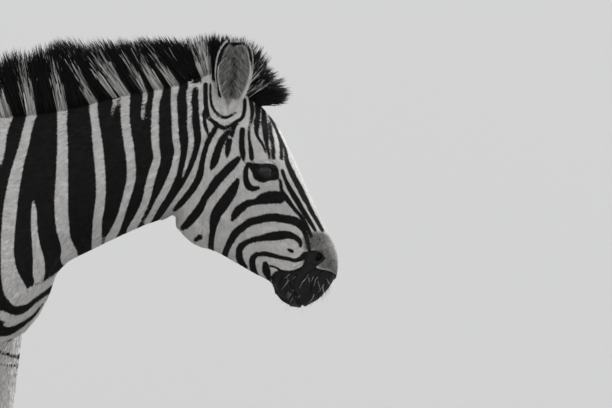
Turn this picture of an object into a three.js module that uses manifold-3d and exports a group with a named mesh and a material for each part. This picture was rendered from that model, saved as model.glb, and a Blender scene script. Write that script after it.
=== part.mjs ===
// A plains zebra standing on level ground with its left fore foot a short step ahead, looking to its front, the
// neck carried low and the head hung at an easy slope. Millimetres, +Z up. It faces +X, its right side is at -Y,
// and the origin is on the ground under the middle of the animal. The body is shaped whole, out to the tips of
// its coat, and then parted with thin cuts into head, neck, trunk and legs. Hooves, eyes, ears, mane, forelock
// and tail are pieces of their own.

import * as THREE from 'three';
import { mergeVertices } from 'three/addons/utils/BufferGeometryUtils.js';
import Module from 'manifold-3d';

const wasm = await Module();
wasm.setup();

// Driving sizes

const PARTING = 0.3; // clear width of every cut, and of every joint between two pieces
const FAR = 4000; // larger than the animal, for the blocks that cut it
const ROUND = { torso: 24, head: 22, leg: 14, hoof: 16, mane: 8, tail: 10, ear: 8, eye: 12 }; // points round each
const STEPS = { torso: 34, head: 26, foreleg: 22, hindleg: 25, mane: 20, forelock: 10, tail: 18, ear: 10, eye: 8 };

const FOREFEET = { right: 168, left: 246 }; // x of each fore cannon; the left foot is a short step ahead
const HINDFEET = { right: -858, left: -812 };
const SHOULDER = 196; // x of both fore legs where they are rooted, whatever the feet do
const HIP = - 840; // and of both hind legs
const ROOTING = [ 760, 960 ]; // heights between which a leg leaves its own line for its root
const FORE_TRACK = 98; // y of a fore cannon from the middle
const HIND_TRACK = 104;

const EYE = { x: 853, y: 85, z: 1191, radius: 21 };
const EAR = { width: 82, foot: 0.15, fullest: 0.62, drawnIn: 0.55, depth: 0.8, wall: 7, root: new THREE.Vector3( 780, 54, 1290 ) };
const POSE = { // how tall each ear stands, and how far it leans forward and out for its height
	right: { height: 190, lean: 0.08, splay: 0.13 },
	left: { height: 166, lean: - 0.2, splay: 0.34 },
};
const HOOF = { toe: 106, heel: - 14, half: 43, height: 72, slope: 0.62, crown: 0.86, pinch: 0.1 };
const CORONET = { rear: 0.54, front: 0.6 }; // its height at the heel and its reach at the toe, as shares of the hoof's

// Profiles. Each line of a profile is one section: a point on the upper (or front) outline, the point facing it
// on the under (or rear) outline, the half width, how far up it is widest (0 to 1), and how square the parts
// over and under that are: 2 is an ellipse, less is keeled, more is boxy. A last number moves it sideways.

const TORSO = [
	[ [ - 960, 1080 ], [ - 958, 985 ], 62, 0.5, 2, 2 ], // buttocks
	[ [ - 944, 1142 ], [ - 938, 912 ], 132, 0.5, 2, 2 ],
	[ [ - 892, 1206 ], [ - 888, 868 ], 186, 0.5, 2, 2.1 ], // root of the tail
	[ [ - 806, 1252 ], [ - 806, 836 ], 220, 0.5, 2, 2.2 ],
	[ [ - 672, 1284 ], [ - 676, 788 ], 238, 0.52, 1.9, 2.2 ], // croup
	[ [ - 538, 1276 ], [ - 538, 732 ], 250, 0.46, 1.9, 2.2 ], // hips
	[ [ - 364, 1250 ], [ - 364, 674 ], 272, 0.42, 1.9, 2.2 ], // loins
	[ [ - 192, 1238 ], [ - 182, 646 ], 278, 0.42, 1.9, 2.2 ], // barrel
	[ [ - 38, 1254 ], [ - 20, 656 ], 260, 0.42, 1.75, 2.1 ],
	[ [ 60, 1284 ], [ 90, 696 ], 234, 0.42, 1.6, 2 ], // withers
	[ [ 160, 1292 ], [ 210, 762 ], 212, 0.42, 1.55, 2 ],
	[ [ 262, 1296 ], [ 318, 812 ], 178, 0.42, 1.6, 2 ], // foot of the neck
	[ [ 330, 1301 ], [ 372, 880 ], 146, 0.4, 1.65, 2 ], // breast
	[ [ 395, 1309 ], [ 404, 962 ], 120, 0.42, 1.7, 2 ],
	[ [ 466, 1326 ], [ 466, 998 ], 104, 0.44, 1.7, 2 ],
	[ [ 545, 1347 ], [ 538, 1033 ], 93, 0.46, 1.7, 2 ], // middle of the neck
	[ [ 620, 1359 ], [ 600, 1060 ], 86, 0.48, 1.75, 2 ],
	[ [ 690, 1377 ], [ 646, 1076 ], 82, 0.5, 1.8, 2 ], // throat
	[ [ 748, 1394 ], [ 692, 1110 ], 76, 0.52, 1.9, 2 ], // poll, inside the head
	[ [ 792, 1366 ], [ 742, 1180 ], 62, 0.5, 2, 2 ],
];

const HEAD = [
	[ [ 738, 1384 ], [ 690, 1230 ], 52, 0.55, 2, 2 ], // inside the neck
	[ [ 780, 1376 ], [ 674, 1140 ], 66, 0.56, 2, 2.2 ], // poll
	[ [ 820, 1350 ], [ 658, 1073 ], 74, 0.58, 2.2, 2.5 ], // top of the forehead, angle of the jaw
	[ [ 855, 1313 ], [ 680, 1036 ], 83, 0.62, 2.4, 2.5 ],
	[ [ 886, 1272 ], [ 710, 1014 ], 91, 0.66, 2.7, 2.3 ], // brow
	[ [ 908, 1228 ], [ 744, 1004 ], 90, 0.66, 2.7, 2 ], // eyes
	[ [ 930, 1182 ], [ 778, 984 ], 76, 0.6, 2.5, 1.9 ],
	[ [ 950, 1136 ], [ 808, 966 ], 64, 0.54, 2.3, 1.9 ], // bridge of the nose
	[ [ 974, 1086 ], [ 834, 951 ], 54, 0.52, 2.2, 2 ],
	[ [ 994, 1042 ], [ 856, 940 ], 48, 0.54, 2.2, 2 ],
	[ [ 1008, 1010 ], [ 870, 930 ], 49, 0.6, 2.3, 2 ], // nostrils
	[ [ 1015, 980 ], [ 878, 908 ], 51, 0.62, 2.4, 2 ], // chin groove
	[ [ 1014, 950 ], [ 890, 892 ], 51, 0.6, 2.3, 2 ],
	[ [ 1003, 926 ], [ 908, 880 ], 46, 0.56, 2.2, 2 ], // lips
	[ [ 984, 906 ], [ 930, 878 ], 36, 0.5, 2, 2 ],
	[ [ 966, 892 ], [ 944, 882 ], 18, 0.5, 2, 2 ],
];

// Legs, from inside the trunk down to inside the hoof: height, front and rear of it from the cannon bone's
// axis, half width, and how far it stands outside the line of the foot.

const FORELEG = [
	[ 1010, 96, - 90, 44, 18 ], // shoulder, inside the trunk
	[ 930, 118, - 128, 54, 26 ],
	[ 855, 98, - 138, 61, 26 ],
	[ 795, 80, - 118, 62, 19 ], // elbow
	[ 745, 67, - 88, 57, 12 ],
	[ 670, 58, - 62, 48, 6 ], // forearm
	[ 590, 49, - 47, 41, 3 ],
	[ 510, 38, - 38, 33, 1 ],
	[ 462, 37, - 38, 34, 0 ],
	[ 428, 41, - 42, 37, 0 ], // knee
	[ 392, 37, - 35, 35, 0 ],
	[ 352, 27, - 30, 26, 0 ],
	[ 290, 25, - 28, 21, 0 ], // cannon
	[ 232, 26, - 30, 22, 0 ],
	[ 204, 31, - 36, 27, 0 ],
	[ 178, 37, - 41, 30, 0 ], // fetlock
	[ 150, 42, - 31, 28, 0 ],
	[ 118, 48, - 12, 26, 0 ], // pastern
	[ 86, 58, - 8, 30, 0 ],
	[ 56, 70, - 12, 33, 0 ], // inside the hoof
	[ 20, 76, - 2, 28, 0 ],
];

const HINDLEG = [
	[ 1130, 160, - 14, 38, 6 ], // hip, inside the trunk
	[ 1050, 224, - 48, 70, 16 ],
	[ 980, 262, - 70, 86, 21 ],
	[ 910, 278, - 80, 92, 22 ],
	[ 840, 268, - 80, 88, 18 ], // thigh
	[ 770, 248, - 72, 78, 14 ], // stifle
	[ 700, 196, - 64, 64, 9 ],
	[ 630, 138, - 60, 53, 5 ], // gaskin
	[ 570, 88, - 64, 44, 2 ],
	[ 528, 60, - 74, 37, 0 ],
	[ 496, 52, - 74, 36, 0 ], // point of the hock
	[ 460, 50, - 52, 39, 0 ], // hock
	[ 420, 43, - 36, 37, 0 ],
	[ 376, 31, - 31, 29, 0 ],
	[ 300, 27, - 29, 23, 0 ], // cannon
	[ 240, 28, - 31, 24, 0 ],
	[ 212, 33, - 38, 28, 0 ],
	[ 186, 39, - 42, 31, 0 ], // fetlock
	[ 156, 43, - 30, 29, 0 ],
	[ 122, 48, - 12, 26, 0 ], // pastern
	[ 88, 57, - 8, 30, 0 ],
	[ 56, 70, - 12, 33, 0 ], // inside the hoof
	[ 20, 76, - 2, 28, 0 ],
];

// Upright mane: the tip of the hair over its root on the crest of the neck, and half its thickness.

const MANE = [
	[ [ 6, 1296 ], [ 12, 1250 ], 9, 0.3, 2.6, 2 ], // withers
	[ [ 96, 1360 ], [ 110, 1262 ], 17, 0.3, 2.6, 2 ],
	[ [ 190, 1402 ], [ 206, 1268 ], 21, 0.3, 2.6, 2 ],
	[ [ 280, 1422 ], [ 292, 1272 ], 23, 0.3, 2.6, 2 ],
	[ [ 360, 1447 ], [ 378, 1280 ], 24, 0.3, 2.6, 2 ],
	[ [ 434, 1464 ], [ 462, 1284 ], 24, 0.3, 2.6, 2 ],
	[ [ 508, 1453 ], [ 540, 1298 ], 23, 0.3, 2.6, 2 ],
	[ [ 590, 1465 ], [ 616, 1312 ], 23, 0.3, 2.6, 2 ],
	[ [ 672, 1474 ], [ 684, 1338 ], 22, 0.3, 2.6, 2 ],
	[ [ 744, 1481 ], [ 742, 1362 ], 21, 0.3, 2.6, 2 ],
	[ [ 782, 1484 ], [ 776, 1366 ], 20, 0.3, 2.6, 2 ], // poll
];

const FORELOCK = [
	[ [ 784, 1484 ], [ 778, 1364 ], 20, 0.3, 2.6, 2 ], // poll
	[ [ 826, 1466 ], [ 792, 1358 ], 20, 0.3, 2.6, 2 ],
	[ [ 866, 1434 ], [ 806, 1346 ], 21, 0.3, 2.6, 2 ],
	[ [ 898, 1396 ], [ 820, 1330 ], 21, 0.3, 2.6, 2 ],
	[ [ 914, 1352 ], [ 832, 1312 ], 19, 0.3, 2.6, 2 ],
	[ [ 908, 1326 ], [ 836, 1300 ], 12, 0.3, 2.6, 2 ], // forehead
];

const TAIL = [
	[ [ - 876, 1196 ], [ - 856, 1120 ], 26, 0.5, 2, 2 ], // inside the rump
	[ [ - 942, 1178 ], [ - 906, 1122 ], 31, 0.5, 2, 2 ],
	[ [ - 986, 1128 ], [ - 932, 1096 ], 30, 0.5, 2, 2 ],
	[ [ - 1008, 1050 ], [ - 962, 1040 ], 26, 0.5, 2, 2 ],
	[ [ - 1014, 960 ], [ - 974, 958 ], 22, 0.5, 2, 2 ],
	[ [ - 1012, 870 ], [ - 975, 870 ], 20, 0.5, 2, 2 ],
	[ [ - 1012, 790 ], [ - 968, 790 ], 22, 0.5, 2, 2 ],
	[ [ - 1016, 700 ], [ - 958, 700 ], 30, 0.5, 2, 2 ], // long hair of the end
	[ [ - 1014, 610 ], [ - 952, 610 ], 34, 0.5, 2, 2 ],
	[ [ - 1002, 530 ], [ - 956, 530 ], 27, 0.5, 2, 2 ],
	[ [ - 982, 470 ], [ - 966, 470 ], 9, 0.5, 2, 2 ],
];

// Swellings over the plain sections: centre (x, y outwards, z), reach and height.

const SWELLS = {
	torso: [
		[ 330, 150, 935, 95, 14 ], // point of the shoulder
		[ 150, 215, 1060, 150, 10 ], // shoulder blade
		[ 270, 130, 1120, 90, - 9 ], // dip before the shoulder
		[ - 580, 200, 1180, 90, 8 ], // point of the hip
		[ - 470, 240, 1010, 120, - 14 ], // flank
		[ - 850, 190, 1030, 150, 12 ], // rump
	],
	head: [
		[ 852, 92, 1202, 40, 11 ], // rim of the eye
		[ 752, 70, 1110, 85, 9 ], // cheek
		[ 862, 66, 1108, 38, - 5 ], // hollow under the eye
		[ 800, 62, 1272, 40, - 6 ], // hollow behind the brow
		[ 1000, 46, 1000, 30, 11 ], // nostril
		[ 925, 34, 905, 30, 5 ], // lips
	],
};

// Making of solids

function closed( positions, indices ) {

	const geometry = new THREE.BufferGeometry();
	geometry.setAttribute( 'position', new THREE.Float32BufferAttribute( positions, 3 ) );
	geometry.setIndex( indices );
	return geometry;

}

// A skin over a run of rings. Each end is closed with a fan from its middle, or, on a ring that goes out round
// a curved wall and comes back inside it, straight across the wall.
function skinned( rings, walled = false ) {

	const count = rings[ 0 ].length;
	const middle = ring => ring.reduce( ( sum, p ) => sum.add( p ), new THREE.Vector3() ).divideScalar( count );
	const points = [ ...rings.flat(), middle( rings[ 0 ] ), middle( rings[ rings.length - 1 ] ) ];
	const first = rings.length * count;
	const end = first - count;
	const indices = [];
	for ( let i = 0; i < count; i ++ ) {

		const j = ( i + 1 ) % count;
		if ( ! walled ) indices.push( first, j, i, first + 1, end + i, end + j );
		for ( let r = 0; r < rings.length - 1; r ++ ) {

			const a = r * count;
			const b = a + count;
			indices.push( a + i, a + j, b + j, a + i, b + j, b + i );

		}

	}

	for ( let i = 0; walled && i < count / 2 - 1; i ++ ) {

		const back = count - 1 - i;
		indices.push( i, back, i + 1, i + 1, back, back - 1 );
		indices.push( end + i, end + i + 1, end + back, end + i + 1, end + back - 1, end + back );

	}

	const geometry = closed( points.flatMap( p => p.toArray() ), indices );
	if ( volume( geometry ) < 0 ) indices.reverse();
	geometry.setIndex( indices );
	return geometry;

}

function volume( geometry ) {

	const corner = i => new THREE.Vector3().fromBufferAttribute( geometry.attributes.position, geometry.index.getX( i ) );
	let sum = 0;
	for ( let i = 0; i < geometry.index.count; i += 3 ) {

		sum += corner( i ).dot( corner( i + 1 ).cross( corner( i + 2 ) ) ) / 6;

	}

	return sum;

}

// Smooth values between the lines of a table, in steps that are even from line to line.
function between( table, steps ) {

	const rows = table.map( row => row.flat() );
	const last = rows.length - 1;
	const made = [];
	for ( let i = 0; i <= steps; i ++ ) {

		const at = last * i / steps;
		const k = Math.min( Math.floor( at ), last - 1 );
		const t = at - k;
		const [ p0, p1, p2, p3 ] = [ k - 1, k, k + 1, k + 2 ].map( n => rows[ Math.min( Math.max( n, 0 ), last ) ] );
		made.push( p1.map( ( v, n ) => {

			const out = ( p2[ n ] - p0[ n ] ) / 2;
			const into = ( p3[ n ] - v ) / 2;
			const rise = p2[ n ] - v;
			return v + out * t + ( 3 * rise - 2 * out - into ) * t * t + ( out + into - 2 * rise ) * t * t * t;

		} ) );

	}

	return made;

}

// One section standing between two outline points, widest part way up.
function section( [ overX, overZ, underX, underZ, half, widest, crown, keel, aside = 0 ], count ) {

	const ring = [];
	for ( let i = 0; i < count; i ++ ) {

		const angle = 2 * Math.PI * i / count;
		const across = Math.cos( angle );
		const rise = Math.sin( angle );
		const power = 2 / ( rise > 0 ? crown : keel );
		const up = widest + Math.sign( rise ) * Math.abs( rise ) ** power * ( rise > 0 ? 1 - widest : widest );
		const y = aside + half * Math.sign( across ) * Math.abs( across ) ** power;
		ring.push( new THREE.Vector3( underX + ( overX - underX ) * up, y, underZ + ( overZ - underZ ) * up ) );

	}

	return ring;

}

function loft( table, steps, count ) {

	return skinned( between( table, steps ).map( row => section( row, count ) ) );

}

// Raises or hollows the surface round each centre, the same on both sides of the animal.
function swell( geometry, swells ) {

	geometry.computeVertexNormals();
	const { position, normal } = geometry.attributes;
	const moved = new THREE.Vector3();
	for ( let i = 0; i < position.count; i ++ ) {

		const point = new THREE.Vector3().fromBufferAttribute( position, i );
		moved.set( 0, 0, 0 );
		for ( const [ x, y, z, reach, height ] of swells ) {

			const away = point.distanceTo( new THREE.Vector3( x, Math.sign( point.y ) * y, z ) ) / reach;
			moved.addScaledVector( new THREE.Vector3().fromBufferAttribute( normal, i ), height * Math.exp( - away * away ) );

		}

		point.add( moved );
		position.setXYZ( i, point.x, point.y, point.z );

	}

	geometry.deleteAttribute( 'normal' );
	return geometry;

}

// The same surface moved outwards all over, to cut a neighbour with a clear gap.
function grown( geometry, distance ) {

	const wider = geometry.clone();
	wider.computeVertexNormals();
	const { position, normal } = wider.attributes;
	for ( let i = 0; i < position.count; i ++ ) {

		const point = new THREE.Vector3().fromBufferAttribute( position, i );
		point.addScaledVector( new THREE.Vector3().fromBufferAttribute( normal, i ), distance );
		position.setXYZ( i, point.x, point.y, point.z );

	}

	wider.deleteAttribute( 'normal' );
	return wider;

}

function solid( geometry ) {

	const plain = geometry.clone();
	plain.deleteAttribute( 'normal' );
	plain.deleteAttribute( 'uv' );
	const merged = mergeVertices( plain );
	return new wasm.Manifold( new wasm.Mesh( {
		numProp: 3,
		vertProperties: new Float32Array( merged.attributes.position.array ),
		triVerts: new Uint32Array( merged.index.array ),
	} ) );

}

function surface( body ) {

	const mesh = body.getMesh();
	return closed( Array.from( mesh.vertProperties ), Array.from( mesh.triVerts ) );

}

// A block that fills everything on one side of a plane across the animal's middle: the plane passes through
// two outline points, and the block lies to the right hand of the way from the first to the second.
function block( [ x1, z1 ], [ x2, z2 ], gap = 0, reach = FAR ) {

	const along = new THREE.Vector2( x2 - x1, z2 - z1 ).normalize();
	const off = new THREE.Vector2( along.y, - along.x );
	const geometry = new THREE.BoxGeometry( reach, FAR, FAR );
	geometry.rotateY( - Math.atan2( along.y, along.x ) );
	const depth = FAR / 2 + gap;
	geometry.translate( ( x1 + x2 ) / 2 + off.x * depth, 0, ( z1 + z2 ) / 2 + off.y * depth );
	return solid( geometry );

}

function side( sign ) {

	return solid( new THREE.BoxGeometry( FAR, FAR, FAR ).translate( 0, sign * FAR / 2, 0 ) );

}

// The whole body

const torso = swell( loft( TORSO, STEPS.torso, ROUND.torso ), SWELLS.torso );
const skull = swell( loft( HEAD, STEPS.head, ROUND.head ), SWELLS.head );

function leg( table, foot, root, track, sign, steps ) {

	const rows = table.map( ( [ z, front, rear, half, out ] ) => {

		const x = THREE.MathUtils.lerp( foot, root, THREE.MathUtils.smoothstep( z, ...ROOTING ) );
		return [ [ x + front, z ], [ x + rear, z ], half, 0.5, 2, 2, sign * ( track + out ) ];

	} );
	return loft( rows, steps, ROUND.leg );

}

const SIDES = { right: - 1, left: 1 };
let whole = solid( torso ).add( solid( skull ) );
for ( const [ name, sign ] of Object.entries( SIDES ) ) {

	whole = whole.add( solid( leg( FORELEG, FOREFEET[ name ], SHOULDER, FORE_TRACK, sign, STEPS.foreleg ) ) );
	whole = whole.add( solid( leg( HINDLEG, HINDFEET[ name ], HIP, HIND_TRACK, sign, STEPS.hindleg ) ) );

}

// Where it is parted: behind the jaw and ears, at the foot of the neck, and across the top of the legs.

const NAPE = [ [ 736, 1388 ], [ 640, 1070 ] ];
const NECK_FOOT = [ [ 215, 1294 ], [ 345, 838 ] ];
const BRISKET = [ [ 100, 688 ], [ 318, 800 ] ];
const GROIN = [ [ - 1010, 862 ], [ - 520, 700 ] ];
const LEG_ROOM = 1100; // length of the block that takes off one pair of legs

function flipped( [ a, b ] ) {

	return [ b, a ];

}

const gap = PARTING / 2;
const fore = g => block( ...BRISKET, g, LEG_ROOM );
const hind = g => block( ...GROIN, g, LEG_ROOM );
const body = whole.subtract( fore( - gap ) ).subtract( hind( - gap ) );
const head = body.intersect( block( ...flipped( NAPE ), gap ) );
const neck = body.intersect( block( ...NAPE, gap ) ).intersect( block( ...flipped( NECK_FOOT ), gap ) );
const trunk = body.intersect( block( ...NECK_FOOT, gap ) );

// Hooves: a wall that widens down to a flat sole, topped at the slope of the coronet.

function coronet( foot ) {

	return [ [ foot + HOOF.heel, HOOF.height * CORONET.rear ], [ foot + HOOF.toe * CORONET.front, HOOF.height ] ];

}

function hoof( foot, track, sign ) {

	const levels = [ 0, 0.1, 0.7, 1.5 ]; // of its height; the last is over the coronet and is cut away
	const rings = levels.map( up => {

		const z = up * HOOF.height;
		const width = HOOF.half * ( 1 - ( 1 - HOOF.crown ) * up );
		const toe = foot + HOOF.toe - z * HOOF.slope;
		const heel = foot + HOOF.heel - z * 0.08;
		const ring = [];
		for ( let i = 0; i < ROUND.hoof; i ++ ) {

			const angle = 2 * Math.PI * i / ROUND.hoof;
			const forward = Math.cos( angle );
			const squared = Math.abs( forward ) ** ( forward < 0 ? 0.7 : 1 ) * Math.sign( forward );
			const x = ( toe + heel ) / 2 + squared * ( toe - heel ) / 2;
			const y = width * Math.sin( angle ) * ( 1 - HOOF.pinch * forward );
			ring.push( new THREE.Vector3( x, sign * track + y, z ) );

		}

		return ring;

	} );
	return solid( skinned( rings ) ).intersect( block( ...coronet( foot ), gap ) );

}

// Eyes: balls sunk in sockets.

function eyeball( sign, extra = 0 ) {

	const ball = new THREE.SphereGeometry( EYE.radius + extra, ROUND.eye, STEPS.eye );
	return solid( ball.rotateX( Math.PI / 2 ).translate( EYE.x, sign * EYE.y, EYE.z ) );

}

// Ears: cups with the opening turned out to the side, narrow at the foot and round at the tip. The right one
// is upright and the left one is laid back and out.

function ear( name, sign ) {

	const { height, lean, splay } = POSE[ name ];
	const rings = [];
	for ( let k = 0; k <= STEPS.ear; k ++ ) {

		const up = k / STEPS.ear;
		const opened = EAR.foot + ( 1 - EAR.foot ) * Math.sin( Math.PI / 2 * Math.min( 1, up / EAR.fullest ) ) ** 1.6;
		const pointed = Math.max( 0, ( up - EAR.drawnIn ) / ( 1 - EAR.drawnIn ) ) ** 3.2;
		const half = EAR.width / 2 * opened * Math.sqrt( Math.max( 0.02, 1 - pointed ) );
		const wrap = Math.PI * ( 0.5 + 0.4 * Math.max( 0, 1 - up / 0.5 ) ** 1.5 ); // half of the arc that the cup goes round
		const wall = Math.min( EAR.wall, half * 0.5 );
		const ring = [];
		for ( let i = 0; i < ROUND.ear; i ++ ) {

			const angle = wrap * ( 2 * i / ( ROUND.ear - 1 ) - 1 );
			ring.push( [ half * Math.sin( angle ), - half * EAR.depth * Math.cos( angle ) ] );

		}

		for ( let i = ROUND.ear - 1; i >= 0; i -- ) {

			const angle = wrap * ( 2 * i / ( ROUND.ear - 1 ) - 1 ) * 0.94;
			ring.push( [ ( half - wall ) * Math.sin( angle ), - ( half * EAR.depth - wall ) * Math.cos( angle ) ] );

		}

		const z = height * up;
		rings.push( ring.map( ( [ x, y ] ) => new THREE.Vector3( x + z * lean, y + z * splay, z ) ) );

	}

	const geometry = skinned( rings, true );
	if ( sign < 0 ) {

		geometry.scale( 1, - 1, 1 );
		geometry.setIndex( Array.from( geometry.index.array ).reverse() );

	}

	return geometry.translate( EAR.root.x, sign * EAR.root.y, EAR.root.z );

}

// Scene

const skin = new THREE.MeshStandardMaterial( { color: 0xd8d4cc, roughness: 0.85, metalness: 0 } );
const hair = new THREE.MeshStandardMaterial( { color: 0x2a2624, roughness: 0.8, metalness: 0 } );
const horn = new THREE.MeshStandardMaterial( { color: 0x3a332e, roughness: 0.55, metalness: 0 } );
const glassy = new THREE.MeshStandardMaterial( { color: 0x120d0a, roughness: 0.1, metalness: 0 } );

const zebra = new THREE.Group();

function place( name, made, material ) {

	const mesh = new THREE.Mesh( surface( made ), material );
	mesh.name = name;
	zebra.add( mesh );

}

const widerTorso = solid( grown( torso, PARTING ) );
const widerSkull = solid( grown( skull, PARTING ) );
const hairless = piece => piece.subtract( widerTorso ).subtract( widerSkull );

place( 'head', head.subtract( eyeball( 1, PARTING ) ).subtract( eyeball( - 1, PARTING ) ), skin );
place( 'neck', neck, skin );
place( 'trunk', trunk, skin );

for ( const [ name, sign ] of Object.entries( SIDES ) ) {

	const here = side( sign );
	const foreleg = whole.intersect( fore( gap ) ).intersect( here );
	const hindleg = whole.intersect( hind( gap ) ).intersect( here );
	place( `foreleg_${ name }`, foreleg.subtract( block( ...coronet( FOREFEET[ name ] ), - gap ) ), skin );
	place( `hindleg_${ name }`, hindleg.subtract( block( ...coronet( HINDFEET[ name ] ), - gap ) ), skin );
	place( `forehoof_${ name }`, hoof( FOREFEET[ name ], FORE_TRACK, sign ), horn );
	place( `hindhoof_${ name }`, hoof( HINDFEET[ name ], HIND_TRACK, sign ), horn );
	place( `eye_${ name }`, eyeball( sign ), glassy );
	place( `ear_${ name }`, hairless( solid( ear( name, sign ) ) ), skin );

}

place( 'mane', hairless( solid( loft( MANE, STEPS.mane, ROUND.mane ) ) ), hair );
place( 'forelock', hairless( solid( loft( FORELOCK, STEPS.forelock, ROUND.mane ) ) ), hair );
place( 'tail', hairless( solid( loft( TAIL, STEPS.tail, ROUND.tail ) ) ), hair );

export default zebra;
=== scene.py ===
import math

import bmesh
import bpy
import numpy as np
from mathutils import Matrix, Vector
from mathutils.bvhtree import BVHTree


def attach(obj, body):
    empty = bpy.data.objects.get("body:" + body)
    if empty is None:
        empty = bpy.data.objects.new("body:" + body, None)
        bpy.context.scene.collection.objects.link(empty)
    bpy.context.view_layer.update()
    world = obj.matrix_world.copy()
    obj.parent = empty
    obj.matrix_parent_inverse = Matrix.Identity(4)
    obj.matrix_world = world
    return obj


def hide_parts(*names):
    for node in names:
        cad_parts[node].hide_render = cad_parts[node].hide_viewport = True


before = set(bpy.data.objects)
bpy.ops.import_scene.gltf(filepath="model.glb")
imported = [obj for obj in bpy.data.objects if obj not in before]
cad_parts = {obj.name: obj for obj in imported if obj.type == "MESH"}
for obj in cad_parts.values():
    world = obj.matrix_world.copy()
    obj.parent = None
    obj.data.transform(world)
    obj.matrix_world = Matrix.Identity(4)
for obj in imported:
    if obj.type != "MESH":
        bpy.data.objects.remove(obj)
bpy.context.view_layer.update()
scene = bpy.context.scene

# View: a long lens, level with the withers and a little above them, square on to the animal's right side.
# Only the head, the neck and the front of the breast are in the picture.

MM = 0.001
AIM = Vector((946, -24, 1109)) * MM
DISTANCE = 15.0
ELEVATION = math.radians(8)
PICTURE_WIDTH = 1.3403

camera = bpy.data.objects.new("camera", bpy.data.cameras.new("camera"))
scene.collection.objects.link(camera)
camera.location = AIM + DISTANCE * Vector((0, -math.cos(ELEVATION), math.sin(ELEVATION)))
camera.rotation_euler = (math.pi / 2 - ELEVATION, 0, 0)
camera.data.sensor_width = 36
camera.data.lens = 36 * DISTANCE / PICTURE_WIDTH
camera.data.clip_end = 200
scene.camera = camera

# Stripes of the head, neck and breast: black hair on white, no two stripes alike. Each is a line given
# on a side view of the animal: how far along the view, how far down it and half the stripe's width, in
# steps of STEP millimetres. The same lines mark both sides.

STEP = 2.19
LEVEL = 1280  # the height, in millimetres, of the row LEVEL_ROW of the view
LEVEL_ROW = 125
MIDDLE = -126  # the column of the view that lies over the origin


def from_view(lines):
    """The lines as x, height and half width, in millimetres."""
    made = {}
    for name, line in lines.items():
        made[name] = [((along - MIDDLE) * STEP, LEVEL + (LEVEL_ROW - down) * STEP, half * STEP)
                      for along, down, half in line]
    return made


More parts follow.
